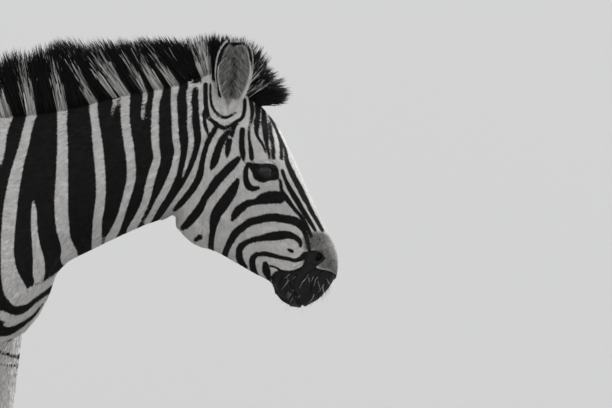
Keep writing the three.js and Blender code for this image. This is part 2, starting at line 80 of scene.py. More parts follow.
HEAD_BLACK = from_view({
    "under_eye": [(279, 197, 6), (272, 196.8, 6.2), (264, 198, 5.5), (256, 201, 3.2), (248, 203, 3.3),
                  (241, 207.5, 4), (236, 213, 3.6), (232.5, 219.5, 1.3)],
    "cheek_long": [(224, 256, 3), (227, 248, 2.8), (231, 240, 3.2), (236, 232, 3.6), (243, 226.5, 3.6),
                   (250, 221.5, 3.8), (258, 219.5, 3.8), (266, 217.5, 3.9), (274, 217, 4), (284, 218.5, 4),
                   (294, 220.5, 4), (300.5, 225, 3.5), (304.5, 232, 2.2), (307, 240, 1.8), (309, 249, 1.5)],
    "cheek_middle": [(245, 267, 2), (240, 260, 3.2), (239, 252, 3.1), (241, 246, 3.2), (247, 241.5, 2.6),
                     (255, 238.8, 2.6), (264, 237, 3.2), (272, 236, 4.2), (280, 235, 4.4), (288, 234.5, 3.6),
                     (295, 237, 2.6), (299.5, 241, 2.2), (300.5, 246, 1.2)],
    "cheek_fleck": [(288, 249.2, 1), (292, 251, 1.6)],
    "cheek_low": [(256, 276, 2.5), (253, 269, 3), (252, 262, 3), (253.5, 256.5, 2.8), (258, 253.8, 2.1),
                  (265, 253.5, 2.3), (272, 255, 2.2), (280, 257, 1.8), (288, 258.5, 1.7), (295, 260.2, 1.7),
                  (301, 258, 2.5), (305, 255, 3.5)],
    "chin": [(265, 263.5, 2.4), (266, 270, 3.8), (268, 276, 2.6), (269, 280.5, 1)],
    "mouth_corner": [(270, 265.5, 0.8), (276, 267.5, 0.8), (280, 270, 0.8)],
    "jaw_front": [(238, 179.5, 1.8), (234.5, 187, 4), (229, 196, 5.2), (222.5, 205, 5.6), (217, 213, 5.2),
                  (214.5, 221, 4.4), (213, 230, 2.8), (211.5, 240, 2.6), (211, 249.5, 2.8)],
    "jaw_rear": [(238.5, 158.5, 2.5), (232, 165, 3.8), (226, 171, 4), (217, 181, 4.2), (211, 190, 3.8),
                 (205.5, 197, 3), (200, 208.5, 4), (193, 217, 4), (187, 224, 3.5), (182, 227.5, 2)],
    "behind_eye": [(248, 163.5, 1.5), (246, 170, 2.2), (246, 178, 2.6), (248, 185, 3), (252, 188, 2.8),
                   (258.5, 187.5, 1.6)],
    "nape": [(196, 90, 3), (196, 100, 3), (196.5, 115, 3.2), (197.5, 128, 3.4), (198.2, 138, 3.3),
             (196.5, 148, 3), (193.5, 158, 2.8), (188.5, 170, 2.8), (182, 182, 2.8), (175.5, 192, 2.7),
             (162, 211, 2.8), (157.5, 218, 2)],
    "throat": [(216.5, 126, 2), (213, 133, 2.2), (209, 139.5, 2.3), (206.5, 146, 2.2), (204, 155, 2.3),
               (202, 164, 2.6), (200, 175, 3.3), (194, 187, 3.2), (187, 196, 3), (180, 204, 2.8),
               (174.5, 209.5, 1.5)],
    "temple_rear": [(229, 131.5, 1.5), (224, 137, 3), (220.5, 143, 3.3), (218, 150, 3.5), (216, 157, 3.8),
                    (214, 163, 3.2), (211.5, 168.5, 1.5)],
    "temple_top": [(236, 124, 2), (233, 129, 2), (232, 135, 2)],
    "temple_fleck": [(229.5, 141, 2.6), (228, 149, 2.6), (227, 156, 1.3)],
    "temple_front": [(242.5, 130, 2.6), (241.8, 138, 2.4), (241.8, 146, 2.6), (243, 154, 2.6),
                     (243.5, 160, 0.8)],
    "ear_inner": [(210.7, 85, 0.8), (211, 100, 1), (213, 108, 1.2), (217, 114, 1.3), (221, 117, 1.3),
                  (226, 118, 1.3), (231, 116, 1), (236, 113, 0.8)],
    "ear_outer": [(206, 85, 2), (206, 100, 2), (207, 110, 2), (209, 118, 1.5), (213, 121.5, 1.8),
                  (217, 124.5, 2), (224, 128, 1.8), (230, 125.5, 1.6), (237, 121.5, 1.5), (243, 117, 1.5),
                  (245, 108, 1.6), (245, 100, 1.4)],
    "nape_spur": [(204.8, 112, 1.5), (205, 120, 1.5), (206, 127, 1.5), (208.5, 134.5, 0.5)],
    "brow_1": [(249, 93, 1.6), (251.5, 103, 1.8), (252.5, 112, 1.8), (251, 121, 1.3), (249, 130, 1),
               (249.5, 140, 1.2), (251, 150, 2), (252, 158, 2.2)],
    "brow_2": [(258, 104, 2.5), (257.8, 115, 2.3), (256.8, 125, 2.5), (256.5, 133, 1.6), (259, 139, 1.2),
               (263, 145, 1), (265.5, 152, 0.8)],
    "brow_3": [(263.5, 110, 1.5), (264, 120, 2.5), (265, 130, 2.8), (266, 138, 2.4), (267, 146, 1.4),
               (269, 154, 1), (269, 159, 0.8)],
    "brow_4": [(269.5, 122, 0.9), (270.5, 132, 1.4), (272, 141, 1.6), (273, 150, 1.5), (273.5, 158, 1.6)],
    "brow_5": [(269, 117, 0.9), (273, 124, 1.1), (277, 133, 1.2), (280, 142, 1.3), (281, 151, 1.4),
               (281, 158, 1.6)],
    "blaze_edge": [(279, 136, 0.8), (282.5, 144, 0.9), (285.5, 152, 1.2), (286.5, 161, 2), (293, 176, 2.6),
                   (297, 183, 2.4), (301, 190, 2.2), (305, 198, 2), (310.5, 210, 2), (316.5, 220, 1.7),
                   (322, 230, 1.5)],
    "nose_low": [(280, 180, 1.2), (281.5, 190, 1.5), (285, 196, 2.5), (290, 203, 2), (295, 209.5, 1.7),
                 (300, 215, 1.6), (304, 221, 1.8), (308, 229, 1.8), (311, 236, 1.5)],
    "nose_middle": [(282, 170, 1.5), (285.5, 180, 1.5), (290.5, 190, 2.4), (296.5, 200, 2.5),
                    (302.5, 210, 2.3), (309, 220, 1.9), (315, 230, 1.2)],
    "nose_high": [(295, 180, 2.2), (299.8, 190, 2.2), (305, 200, 2)],
    "jaw_fleck": [(200, 236.5, 2.5), (195, 239.5, 1.5)],
})

NECK_WHITE = from_view({
    "foot_edge": [(9, 117, 4.5), (6.5, 125, 4), (4.5, 135, 3.6), (3.8, 145, 3.5), (2.8, 157, 3),
                  (1.5, 170, 2), (0.3, 182, 0.8)],
    "foot": [(33, 113, 5), (31, 120, 4.5), (28, 132, 4.4), (25.5, 145, 4.6), (21.5, 160, 5),
             (18.5, 172, 5.6), (16, 185, 6), (14, 198, 6.4), (12.5, 210, 6.6), (10.5, 235, 6.6),
             (10, 250, 6.6), (10.5, 260, 7), (11.5, 270, 8), (14, 280, 9.5), (18, 290, 11), (22, 298, 8),
             (26, 303, 4)],
    "foot_spur": [(35.5, 200, 1), (36, 210, 2.6), (36.5, 230, 3), (37.5, 240, 3.4), (39, 250, 4.4),
                  (40.5, 260, 5.3), (40.5, 270, 5.8), (40, 278, 4.5)],
    "lower": [(63, 112, 5), (63, 120, 4.8), (63.5, 135, 5), (64, 150, 5.2), (63.5, 180, 6), (63, 195, 6.5),
              (63, 210, 6.5), (63.5, 220, 6.6), (64.5, 230, 6.2), (66.5, 240, 5.5), (69.5, 250, 7),
              (70, 258, 9)],
    "lower_middle": [(94, 108, 4), (96.5, 125, 4), (98, 137, 4.6), (99.5, 150, 4.8), (101, 165, 4.8),
                     (102, 180, 4.8), (102, 195, 4.6), (100.5, 208, 4.6), (98.5, 220, 4.4), (97, 242, 4.6),
                     (95.5, 250, 3.5)],
    "middle": [(126, 101, 4.5), (126, 115, 4.2), (127.5, 130, 4.3), (130, 145, 4.6), (132, 160, 4.4),
               (132.5, 172, 4.4), (132, 180, 4.2), (129.5, 190, 4), (126.5, 200, 3.6), (123.5, 210, 3.4),
               (120, 220, 3.6), (115.5, 230, 4), (109, 240, 4)],
    "middle_spur": [(117, 99, 2.3), (114.5, 108, 1.8), (112.5, 117, 1)],
    "upper_middle": [(159.5, 92, 4), (157, 101, 3.3), (156, 115, 3.6), (156, 130, 3.8), (156.5, 145, 3.7),
                     (158, 158, 3.4), (154.5, 170, 4), (150.5, 184, 4), (147.5, 197, 3.6), (143, 209, 3.4),
                     (137, 220, 3.6), (131, 230, 4)],
    "upper_spur": [(146, 95, 2.2), (145, 103, 2.2), (144, 112, 2), (143, 121, 1.2)],
    "upper": [(176, 88, 3.5), (174.5, 97, 3), (175, 110, 3), (176, 125, 3), (176.5, 138, 3.3),
              (178.3, 150, 3), (176.5, 162, 3.3), (173, 175, 3.7), (166, 190, 3.6), (159.5, 201, 3.2),
              (154, 211, 2.8), (147.5, 222, 3)],
    "top": [(192.5, 85, 2.8), (189.5, 95, 2.6), (190.5, 110, 2.3), (190.5, 125, 2.5), (192, 140, 2.7),
            (191, 150, 2.5), (187.5, 163, 1.6), (183, 177, 0.8)],
})

BREAST_BLACK = from_view({
    "edge": [(62, 265.5, 1), (57, 270, 0.9), (51, 275, 0.9), (45, 279.5, 1), (39, 282.5, 1.5),
             (34, 284, 1.2)],
    "upper": [(54.5, 282, 0.8), (50, 288.5, 2.2), (44, 293.5, 2.4), (38, 298, 2.4), (33, 302.5, 2.5),
              (28, 306.5, 3.2), (22, 309, 4.5), (16, 309.5, 4.6), (10, 306, 5), (4, 302, 5.5), (0, 299.5, 6),
              (-8, 297, 6)],
    "lower": [(-8, 329, 6), (0, 329, 6), (6, 330, 5), (12, 329.5, 3.8), (17, 327, 3), (22, 324, 2.5),
              (27, 320.5, 2), (32, 316.5, 1.6), (36, 312.5, 1.3), (39, 308, 1), (44, 301.5, 0.6)],
    "line": [(-8, 343, 1.2), (0, 342.5, 1.2), (8, 340.5, 1.2), (15, 338.5, 1), (21, 336.5, 0.7)],
    "fleck": [(3, 320, 1), (7, 321, 1)],
})

# The stripe that parts the head's markings from the neck's.
NAPE = [point[:2] for point in HEAD_BLACK["nape"]]

REACH = 60  # a stripe further off than this has no say


def drawn(points):
    """Where points fall on the side view, which looks a little down: x, and the height each seems to have."""
    height = LEVEL + (points[:, 2] - LEVEL) * math.cos(ELEVATION) - np.abs(points[:, 1]) * math.sin(ELEVATION)
    return np.stack([points[:, 0], height], 1)


def rounded(line):
    """The line with points added, so that it bends smoothly through its own."""
    p = np.array([line[0], *line, line[-1]], float)
    made = []
    for k in range(1, len(p) - 2):
        out, into, rise = (p[k + 1] - p[k - 1]) / 2, (p[k + 2] - p[k]) / 2, p[k + 1] - p[k]
        for t in (0, 1 / 3, 2 / 3):
            made.append(p[k] + out * t + (3 * rise - 2 * out - into) * t * t
                        + (out + into - 2 * rise) * t ** 3)
    return np.array([*made, p[-2]])


def from_lines(at, lines):
    """How far each place is from the edge of the nearest line, less than nothing when it is inside one."""
    best = np.full(len(at), float(REACH))
    for line in lines:
        line = rounded(line)
        low, high = line[:, :2].min(0) - REACH, line[:, :2].max(0) + REACH
        near = np.flatnonzero(np.all((at > low) & (at < high), axis=1))
        here, found = at[near], best[near]
        for (x, z, half), (x2, z2, half2) in zip(line[:-1], line[1:]):
            run = np.array([x2 - x, z2 - z])
            t = np.clip(((here - (x, z)) @ run) / max(run @ run, 1e-6), 0, 1)
            away = np.hypot(here[:, 0] - x - t * run[0], here[:, 1] - z - t * run[1])
            np.minimum(found, away - half - t * (half2 - half), out=found)
        best[near] = found
    return best


def within(at, outline):
    """How far each place is from an outline, less than nothing when it is inside."""
    inside = np.zeros(len(at), bool)
    for (x, z), (x2, z2) in zip(outline, [*outline[1:], outline[0]]):
        crosses = (at[:, 1] > z) != (at[:, 1] > z2)
        inside ^= crosses & (at[:, 0] < (x2 - x) * (at[:, 1] - z) / ((z2 - z) or 1e-9) + x)
    edge = from_lines(at, [[(x, z, 0) for x, z in [*outline, outline[0]]]])
    return np.where(inside, -edge, edge)


def right_of(at, line):
    """How far ahead of a line each place is, at its own height."""
    line = np.array(sorted(line, key=lambda p: p[1]), float)
    return at[:, 0] - np.interp(at[:, 1], line[:, 1], line[:, 0])


# Stripes of the barrel and legs. Those of the barrel are upright and lean back over the croup, and those of
# the haunch are arcs round its lower front corner, with a black arc between the two. Each family grows by a
# whole turn for each black and white pair. The legs have level rings.

HAUNCH = (-720, 610)
BORDER = 575  # the distance of that arc from the haunch point
BROAD, NARROW = 94, 68
FIRST_WHITE = 250  # where the neck's stripes take over
FORKS = [(-160, 1120, -1), (60, 760, 1), (-352, 860, 1)]


def smooth_step(value, low, high):
    t = np.clip((value - low) / (high - low), 0, 1)
    return t * t * (3 - 2 * t)


def body_stripes(points):
    """Distance inside the white of the barrel and haunch, or inside the black when less than nothing."""
    x, z = points[:, 0], points[:, 2]
    side = np.where(points[:, 1] < 0, 0.0, 1.7)
    bent = x + 7 * np.sin(z / 95 + 1.3 + side) + 4 * np.sin(z / 47 + x / 160 + side)
    bent -= 46 * smooth_step(z, 1040, 1300) * smooth_step(x, -50, 200)
    slope = 0.42 * np.maximum(z - 860, 0) * smooth_step(-x, -60, 420)
    bent += slope
    grid = np.arange(-1400, 1400, 4.0)
    turns = np.cumsum(4 / (BROAD - (BROAD - NARROW) * smooth_step(grid, -40, 220)))
    phase = np.interp(bent, grid, turns) - np.interp(FIRST_WHITE, grid, turns)
    for fx, fz, sign in FORKS:
        phase += sign * np.arctan2(z - fz, x - fx) / (2 * math.pi)
    barrel = 14.5 * (np.cos(2 * math.pi * phase) + 0.02 + 0.10 * np.sin(x / 60 + z / 45 + side))
    over = z + 8 * np.sin(x / 80 + side) + 4 * np.sin(x / 37 + z / 60)
    ahead = np.maximum(bent - slope - HAUNCH[0], 0)
    above = over - HAUNCH[1]
    arc = np.sqrt(ahead ** 2 + np.maximum(above, 0) ** 2) + np.minimum(above, 0)
    spacing = np.interp(arc, [-400, 0, 560], [46, 72, 100])
    haunch = np.interp(arc, [-400, 0, 560], [6, 11, 14]) * (
        np.cos(2 * math.pi * ((arc - BORDER) / spacing + 0.5)) + 0.02 + 0.10 * np.sin(x / 60 + z / 45 + side))
    seam = np.abs(arc - BORDER) - 21
    mixed = np.where(arc < BORDER, haunch, barrel)
    return np.where(x < -60, np.minimum(mixed, seam), barrel)


def leg_rings(points):
    """The same for the rings of the legs, which are closer together lower down."""
    x, z = points[:, 0], points[:, 2]
    side = np.where(points[:, 1] < 0, 0.0, 2.1)
    height = z + 0.5 * np.abs(x - 190) * smooth_step(z, 600, 820) + 3 * np.sin(x / 19 + z / 60 + side)
    height += 2 * np.sin(points[:, 1] / 13)
    grid = np.arange(0, 1200, 4.0)
    turns = np.cumsum(4 / (26 + 26 * smooth_step(grid, 730, 900)))
    wave = np.cos(2 * math.pi * np.interp(height, grid, turns))
    return 5 * (wave + 0.25 + 0.4 * np.sin(z / 41 + side + x / 33))


# Ears: stiff cups of gristle under short hair, on a narrow foot. The right one stands up with its opening to
# the side, and the left one is laid back. Both are measured from the foot of the ear.

EAR_FOOT = np.array([780, 54, 1290])
EARS = {"right": (190, 0.08, 0.13), "left": (166, -0.2, 0.34)}  # height, lean forward, splay outward


def unit(vectors):
    return vectors / np.maximum(np.linalg.norm(vectors, axis=-1, keepdims=True), 1e-9)


def ear_place(points):
    """Places from the foot of the nearer ear, its lean taken out, with how far up it, its axis and height."""
    left = (points[:, 1] > 0)[:, None]
    height, lean, splay = np.where(left, EARS["left"], EARS["right"]).T
    q = np.stack([points[:, 0], np.abs(points[:, 1]), points[:, 2]], 1) - EAR_FOOT
    q[:, 0] -= lean * q[:, 2]
    q[:, 1] -= splay * q[:, 2]
    axis = np.stack([lean, splay * np.where(left[:, 0], 1, -1), np.ones(len(q))], 1)
    return q, q[:, 2] / height, unit(axis), height


def ear_half(up):
    """Half the width of the ear, by how far up it is."""
    opened = 0.15 + 0.85 * np.sin(math.pi / 2 * np.clip(up / 0.62, 0, 1)) ** 1.6
    return 41 * opened * np.sqrt(np.maximum(0.02, 1 - np.clip((up - 0.55) / 0.45, 0, 1) ** 3.2))


def in_ear(points):
    """1 on an ear and 0 off it."""
    q, up, _, _ = ear_place(points)
    away = np.hypot(q[:, 0], q[:, 1])
    return smooth_step(ear_half(up) + 10 - away, 0, 5) * smooth_step(q[:, 2], 44, 60)


# Tail: a ringed dock that hangs close to the rump, thick at its root and thinner down to where the long hair
# starts. It is one skin with the rump.

TAIL = [(790, -990, 22), (870, -994, 21), (960, -994, 23), (1045, -985, 27), (1112, -959, 30),
        (1150, -930, 31)]


def on_tail(points):
    """1 on the tail and 0 off it. TAIL gives the height, the x of the tail's middle and its radius."""
    height, middle, radius = np.array(TAIL, float).T
    z = points[:, 2]
    away = np.hypot(points[:, 0] - np.interp(z, height, middle), points[:, 1]) - np.interp(z, height, radius)
    return smooth_step(-away, -8, -3) * smooth_step(-z, -1150, -1130)


# Markings of the whole coat: black muzzle and lids, dark grey top of the nose, striped sides, a black line
# down the back and under the belly, and a black band above each hoof. The grey also holds painted light,
# paler at the front of the nose, and partly painted shade below the foot of each ear.

MUZZLE = [(872, 938), (869, 947), (877, 958), (891, 963), (911, 961), (926, 965), (939, 973), (944, 989),
          (948, 1002), (961, 1006), (977, 1002), (988, 989), (981, 980), (970, 973), (968, 967), (985, 963),
          (1001, 959), (1014, 952), (1060, 945), (1060, 820), (850, 820), (850, 925)]
LIDS = [(817, 1197), (834, 1195), (856, 1194), (874, 1193), (882, 1186), (885, 1174), (883, 1163),
        (872, 1161), (863, 1159), (854, 1156), (841, 1160), (832, 1166), (831, 1175), (824, 1188)]
NOSE_TOP = [(939, 1035), (957, 1044), (977, 1046), (996, 1037), (1008, 1012), (1014, 990), (1017, 966),
            (1014, 952), (996, 962), (972, 971), (986, 987), (977, 1001), (957, 1009), (944, 1008)]
EYE = np.array([853, 85, 1191])
EYE_RADIUS = 21
NECK_TOP = [(296, 1295), (348, 1303), (414, 1305), (482, 1314), (532, 1327), (552, 1330), (596, 1341),
            (625, 1349), (661, 1358), (698, 1365)]
BREAST_TOP = [(150, 858), (254, 894), (307, 894), (348, 930), (374, 942), (412, 972), (451, 990),
              (700, 1010)]


def marking(points, facing):
    """Distance inside the white, or inside the black when less than nothing, and how grey it is, 0 to 1,
    painted light and shade included.
    """
    at = drawn(points)
    x, y, z = points[:, 0], np.abs(points[:, 1]), points[:, 2]
    outward = facing[:, 1] * np.sign(points[:, 1])
    mark = body_stripes(points)
    mark += (26 * smooth_step(-facing[:, 2], 0.5, 0.95) * smooth_step(-z, -920, -800)
             * smooth_step(x, -640, -480))
    mark = np.where((facing[:, 2] < -0.4) & (x > -560) & (x < 250) & (z < 860), np.minimum(mark, y - 8), mark)
    mark = np.where((facing[:, 2] > 0.5) & (x < 60), np.minimum(mark, y - 11), mark)
    mark += 7 * smooth_step(-outward, 0.2, 0.7) * smooth_step(-z, -960, -800) * smooth_step(-x, 480, 560)
    front = np.flatnonzero(x > 250)
    if len(front):
        here = at[front]
        head = np.minimum(from_lines(here, HEAD_BLACK.values()), within(here, MUZZLE))
        head = np.minimum(head, within(here, LIDS) - 1.2) - 0.8
        top = np.interp(here[:, 0], *np.array(NECK_TOP, float).T)
        under = np.stack([here[:, 0], np.minimum(here[:, 1], top)], 1)
        neck = -from_lines(under, NECK_WHITE.values())
        breast = from_lines(here, BREAST_BLACK.values())
        line = np.array(BREAST_TOP, float)
        low = here[:, 1] < np.interp(here[:, 0], line[:, 0], line[:, 1])
        made = np.where(right_of(here, NAPE) > 0, head, np.where(low, breast, neck))
        poll = (here[:, 1] > 1372) & (here[:, 0] > 702) & (z[front] < 1420) & (y[front] < 44)
        made = np.where(poll, np.minimum(made, 8 - 0.75 * np.abs(here[:, 0] - 729)), made)
        share = smooth_step(x[front], 262, 290)
        mark[front] = mark[front] * (1 - share) + np.clip(made, -30, 30) * share
    share = smooth_step(-z, -860, -780) * smooth_step(x, -60, 20)
    share *= 1 - smooth_step(x, 280, 300) * smooth_step(z, 770, 800)
    share *= smooth_step(y, 22, 40)
    rings = leg_rings(points) + 2.4 * smooth_step(-outward, 0.0, 0.7)
    mark = mark * (1 - share) + rings * share
    mark = np.where(z < 96, np.minimum(mark, z - 90), mark)
    # Painted light: the grey of the nose top is lessened towards the front of the nose, where the sun falls
    # on it.
    painted_sunlit_nose_front = smooth_step(at[:, 0] + 0.3 * at[:, 1], 1290, 1325)
    grey = 0.85 * smooth_step(-within(at, NOSE_TOP), -7, 4) - 0.25 * painted_sunlit_nose_front
    grey = np.maximum(grey, 0) + 0.45 * np.exp(-((at[:, 0] - 652) / 22) ** 2 - ((at[:, 1] - 1080) / 18) ** 2)
    # Partly painted shade: a grey V on the head below the foot of each ear stands in for the lower end of the
    # ear's opening, its grey lining and the shade within it.
    ear_lining_and_shade = from_lines(at, [[(775, 1317, 1), (777, 1328, 6), (779, 1342, 11), (781, 1360, 14)]])
    grey = np.maximum(grey, 0.7 * smooth_step(-ear_lining_and_shade, -1.5, 2) * (z < 1372) * (x > 740))
    return np.clip(mark, -30, 30), np.clip(grey, 0, 1)


# Skin: one surface over the head, ears, neck, trunk, legs and tail. The parts are joined, made even, and
# smoothed harder on the body than on the head, legs and ears, then drawn in to lie under the coat.

FLESH = ["head", "neck", "trunk", "foreleg_right", "foreleg_left", "hindleg_right", "hindleg_left",
         "ear_right", "ear_left", "tail"]
GRAIN = 3.2
BRIDGE = 0.6
SMOOTHING = 130
COAT = {"head": 1.2, "body": 2.6}


def corners(mesh):
    flat = np.empty(len(mesh.vertices) * 3, np.float32)
    mesh.vertices.foreach_get("co", flat)
    return flat.reshape(-1, 3).astype(np.float64)


def normals(mesh):
    flat = np.empty(len(mesh.vertices) * 3, np.float32)
    mesh.vertex_normals.foreach_get("vector", flat)
    return flat.reshape(-1, 3).astype(np.float64)


def set_corners(mesh, points):
    mesh.vertices.foreach_set("co", np.asarray(points, np.float32).ravel())
    mesh.update()


def evaluated(piece):
    made = bpy.data.meshes.new_from_object(piece.evaluated_get(bpy.context.evaluated_depsgraph_get()))
    piece.modifiers.clear()
    piece.data = made
    return made


def group(piece, name, weights):
    made = piece.vertex_groups.new(name=name)
    levels = np.round(weights * 40).astype(int)
    for level in np.unique(levels):
        made.add(np.flatnonzero(levels == level).tolist(), float(level) / 40, "REPLACE")


def new_piece(name, mesh, *materials):
    piece = bpy.data.objects.new(name, mesh)
    scene.collection.objects.link(piece)
    for m in materials:
        mesh.materials.append(m)
    return piece


def ahead_of_jaw(x, z):
    """How far forward a place lies of a line that leans as the back of the jaw does."""
    return x - 0.3 * (z - 1200)


joined = bmesh.new()
for name in [*[n for n in FLESH if "ear_" not in n], "eye_right", "eye_left"]:
    part = bmesh.new()
    part.from_mesh(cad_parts[name].data)
    bmesh.ops.remove_doubles(part, verts=part.verts, dist=1e-6)
    copy = bpy.data.meshes.new(name + "_copy")
    part.to_mesh(copy)
    part.free()
    set_corners(copy, corners(copy) + normals(copy) * BRIDGE * MM)
    joined.from_mesh(copy)
EAR_LEVELS, EAR_ROUND, EAR_WALL, EAR_HAIR = 36, 40, 6.0, 8
for sign, (tall, lean, splay) in ((-1, EARS["right"]), (1, EARS["left"])):
    rows = []
    for k in range(EAR_LEVELS + 1):
        up = k / EAR_LEVELS
        half = float(ear_half(up)) * 0.98
        wrap = math.pi * (0.5 + 0.4 * max(0, 1 - up / 0.5) ** 1.5)
        wall = min(EAR_WALL, half * 0.5)
        turn = np.linspace(-1, 1, EAR_ROUND) * wrap
        outer = np.stack([half * np.sin(turn), -half * 0.8 * np.cos(turn)], 1)
        inside = np.stack([(half - wall) * np.sin(0.94 * turn),
                           -(half * 0.8 - wall) * np.cos(0.94 * turn)], 1)
        height = (tall - EAR_HAIR) * up
        ring = [(px + lean * height + EAR_FOOT[0], sign * (py + splay * height + EAR_FOOT[1]),
                 height + EAR_FOOT[2]) for px, py in [*outer, *inside[::-1]]]
        rows.append([joined.verts.new(Vector(c) * MM) for c in ring])
    width = 2 * EAR_ROUND
    made = [(rows[k][i], rows[k][(i + 1) % width], rows[k + 1][(i + 1) % width], rows[k + 1][i])
            for k in range(EAR_LEVELS) for i in range(width)]
    for row in (rows[0], rows[-1]):
        made += [(row[i], row[width - 1 - i], row[width - 2 - i], row[i + 1]) for i in range(EAR_ROUND - 1)]
    bmesh.ops.recalc_face_normals(joined, faces=[joined.faces.new(f) for f in made])

mesh = bpy.data.meshes.new("skin")
joined.to_mesh(mesh)
joined.free()

skin = new_piece("skin", mesh)
even = skin.modifiers.new("even", "REMESH")
even.mode = "VOXEL"
even.voxel_size = GRAIN * MM
even.use_smooth_shade = True
mesh = evaluated(skin)

points = corners(mesh) / MM
x, y, z = points.T
is_head = smooth_step(ahead_of_jaw(x, z), 640, 700)
is_leg = smooth_step(-z, -760, -600)
is_ear = in_ear(points)
is_tail = smooth_step(-x, 930, 950)
strength = 1 - 0.86 * np.maximum.reduce([is_head, is_leg, is_tail])
group(skin, "smoothing", np.clip(strength * (1 - is_ear), 0.025, 1))
even = skin.modifiers.new("smooth", "SMOOTH")
even.factor = 0.5
even.iterations = SMOOTHING
even.vertex_group = "smoothing"
mesh = evaluated(skin)
skin.vertex_groups.clear()


def bump(points, side_y, centre, reach, height):
    q = (points - (centre[0], side_y * centre[1], centre[2])) / reach
    return height * np.exp(-np.sum(q * q, 1))


points = corners(mesh) / MM
facing = normals(mesh)
x, y, z = points.T
lift = -np.where(ahead_of_jaw(x, z) > 670, COAT["head"], COAT["body"]) * (1 - 0.8 * in_ear(points))
HEAD_FORMS = [
    ((858, 88, 1212), (34, 30, 12), 4.0),  # brow
    ((842, 88, 1160), (34, 30, 12), 1.5),  # under the eye
    ((893, 74, 1110), (14, 20, 42), 2.6),  # ridge of the cheekbone
    ((920, 62, 1062), (12, 20, 30), 1.6),
    ((905, 66, 1140), (20, 24, 26), -2.6),
    ((884, 52, 1030), (24, 24, 34), -2.4),  # hollow of the cheek
    ((815, 76, 1215), (14, 24, 22), -3.0),
    ((700, 60, 1150), (13, 30, 60), -2.0),
    ((905, 40, 912), (16, 20, 14), 2.2),  # chin
    ((985, 34, 925), (22, 26, 22), 2.0),
]
for sign in (-1, 1):
    for centre, reach, height in HEAD_FORMS:
        lift += bump(points, sign, centre, np.array(reach, float), height)
points += facing * lift[:, None]
points[:, 2] += (10 * np.exp(-(y / 26) ** 2) * smooth_step(x, 60, 260) * (1 - smooth_step(x, 730, 790))
                 * smooth_step(facing[:, 2], 0, 0.5))  # the crest, under the mane
end = smooth_step(-z, -860, -760) * is_tail
middle = np.stack([np.full(len(x), -988.0), 0 * x, z], 1)
points = points + (middle - points) * (0.6 * end)[:, None]
set_corners(mesh, points * MM)

# The body's forms are large and plain, so its skin keeps fewer faces than that of the face. It is made finer
# again below, along the edges of the stripes.

keep = np.clip(np.maximum(smooth_step(ahead_of_jaw(x, z), 600, 700), 0.25 * smooth_step(x, 150, 400)), 0, 1)
group(skin, "spare", 1 - 0.6 * keep)
fewer = skin.modifiers.new("fewer", "DECIMATE")
fewer.ratio = 0.09
fewer.vertex_group = "spare"
fewer.vertex_group_factor = 1
mesh = evaluated(skin)
skin.vertex_groups.clear()

# Fine modelling of the face, on a mesh made finer round the eyes, the nostrils and the lips: lids over the
# eyeballs with a crease above and below, hollow nostrils with a raised rim, and the line of the mouth.

FINEST = 2.4
FINE = [((853, 88, 1190), 36, 2), ((978, 46, 992), 24, 1), ((940, 40, 925), 66, 1)]

shape = bmesh.new()
shape.from_mesh(mesh)
for centre, reach, times in FINE:
    for _ in range(times):
        near = []
        for e in shape.edges:
            at = e.verts[0].co
            away = Vector([c / MM for c in at]) - Vector(
                (centre[0], math.copysign(centre[1], at.y), centre[2]))
            if e.calc_length() > FINEST * MM and away.length < reach:
                near.append(e)
        bmesh.ops.subdivide_edges(shape, edges=near, cuts=1, use_grid_fill=True)
bmesh.ops.triangulate(shape, faces=shape.faces)
shape.verts.index_update()
for _ in range(5):
    shape.normal_update()
    ends = np.array([[v.index for v in e.verts] for e in shape.edges])
    at = np.array([v.co for v in shape.verts]) / MM
    mark, _ = marking(at, np.array([v.normal for v in shape.verts]))
    run = np.linalg.norm(at[ends[:, 0]] - at[ends[:, 1]], axis=1)
    crossed = (mark[ends[:, 0]] * mark[ends[:, 1]] < 0) | (np.abs(mark[ends]).min(1) < 2)
    on_face = ahead_of_jaw(at[ends[:, 0], 0], at[ends[:, 0], 2]) > 670
    longest = np.where(on_face, 5.5, np.where(at[ends[:, 0], 2] < 640, 10, 15))
    split = (run > longest) & crossed | (run > np.where(on_face, 12, 32))
    bmesh.ops.subdivide_edges(shape, edges=[e for e, wanted in zip(shape.edges, split) if wanted], cuts=1)
    bmesh.ops.triangulate(shape, faces=[f for f in shape.faces if len(f.verts) > 3])
    shape.verts.index_update()
shape.to_mesh(mesh)
shape.free()
mesh.update()

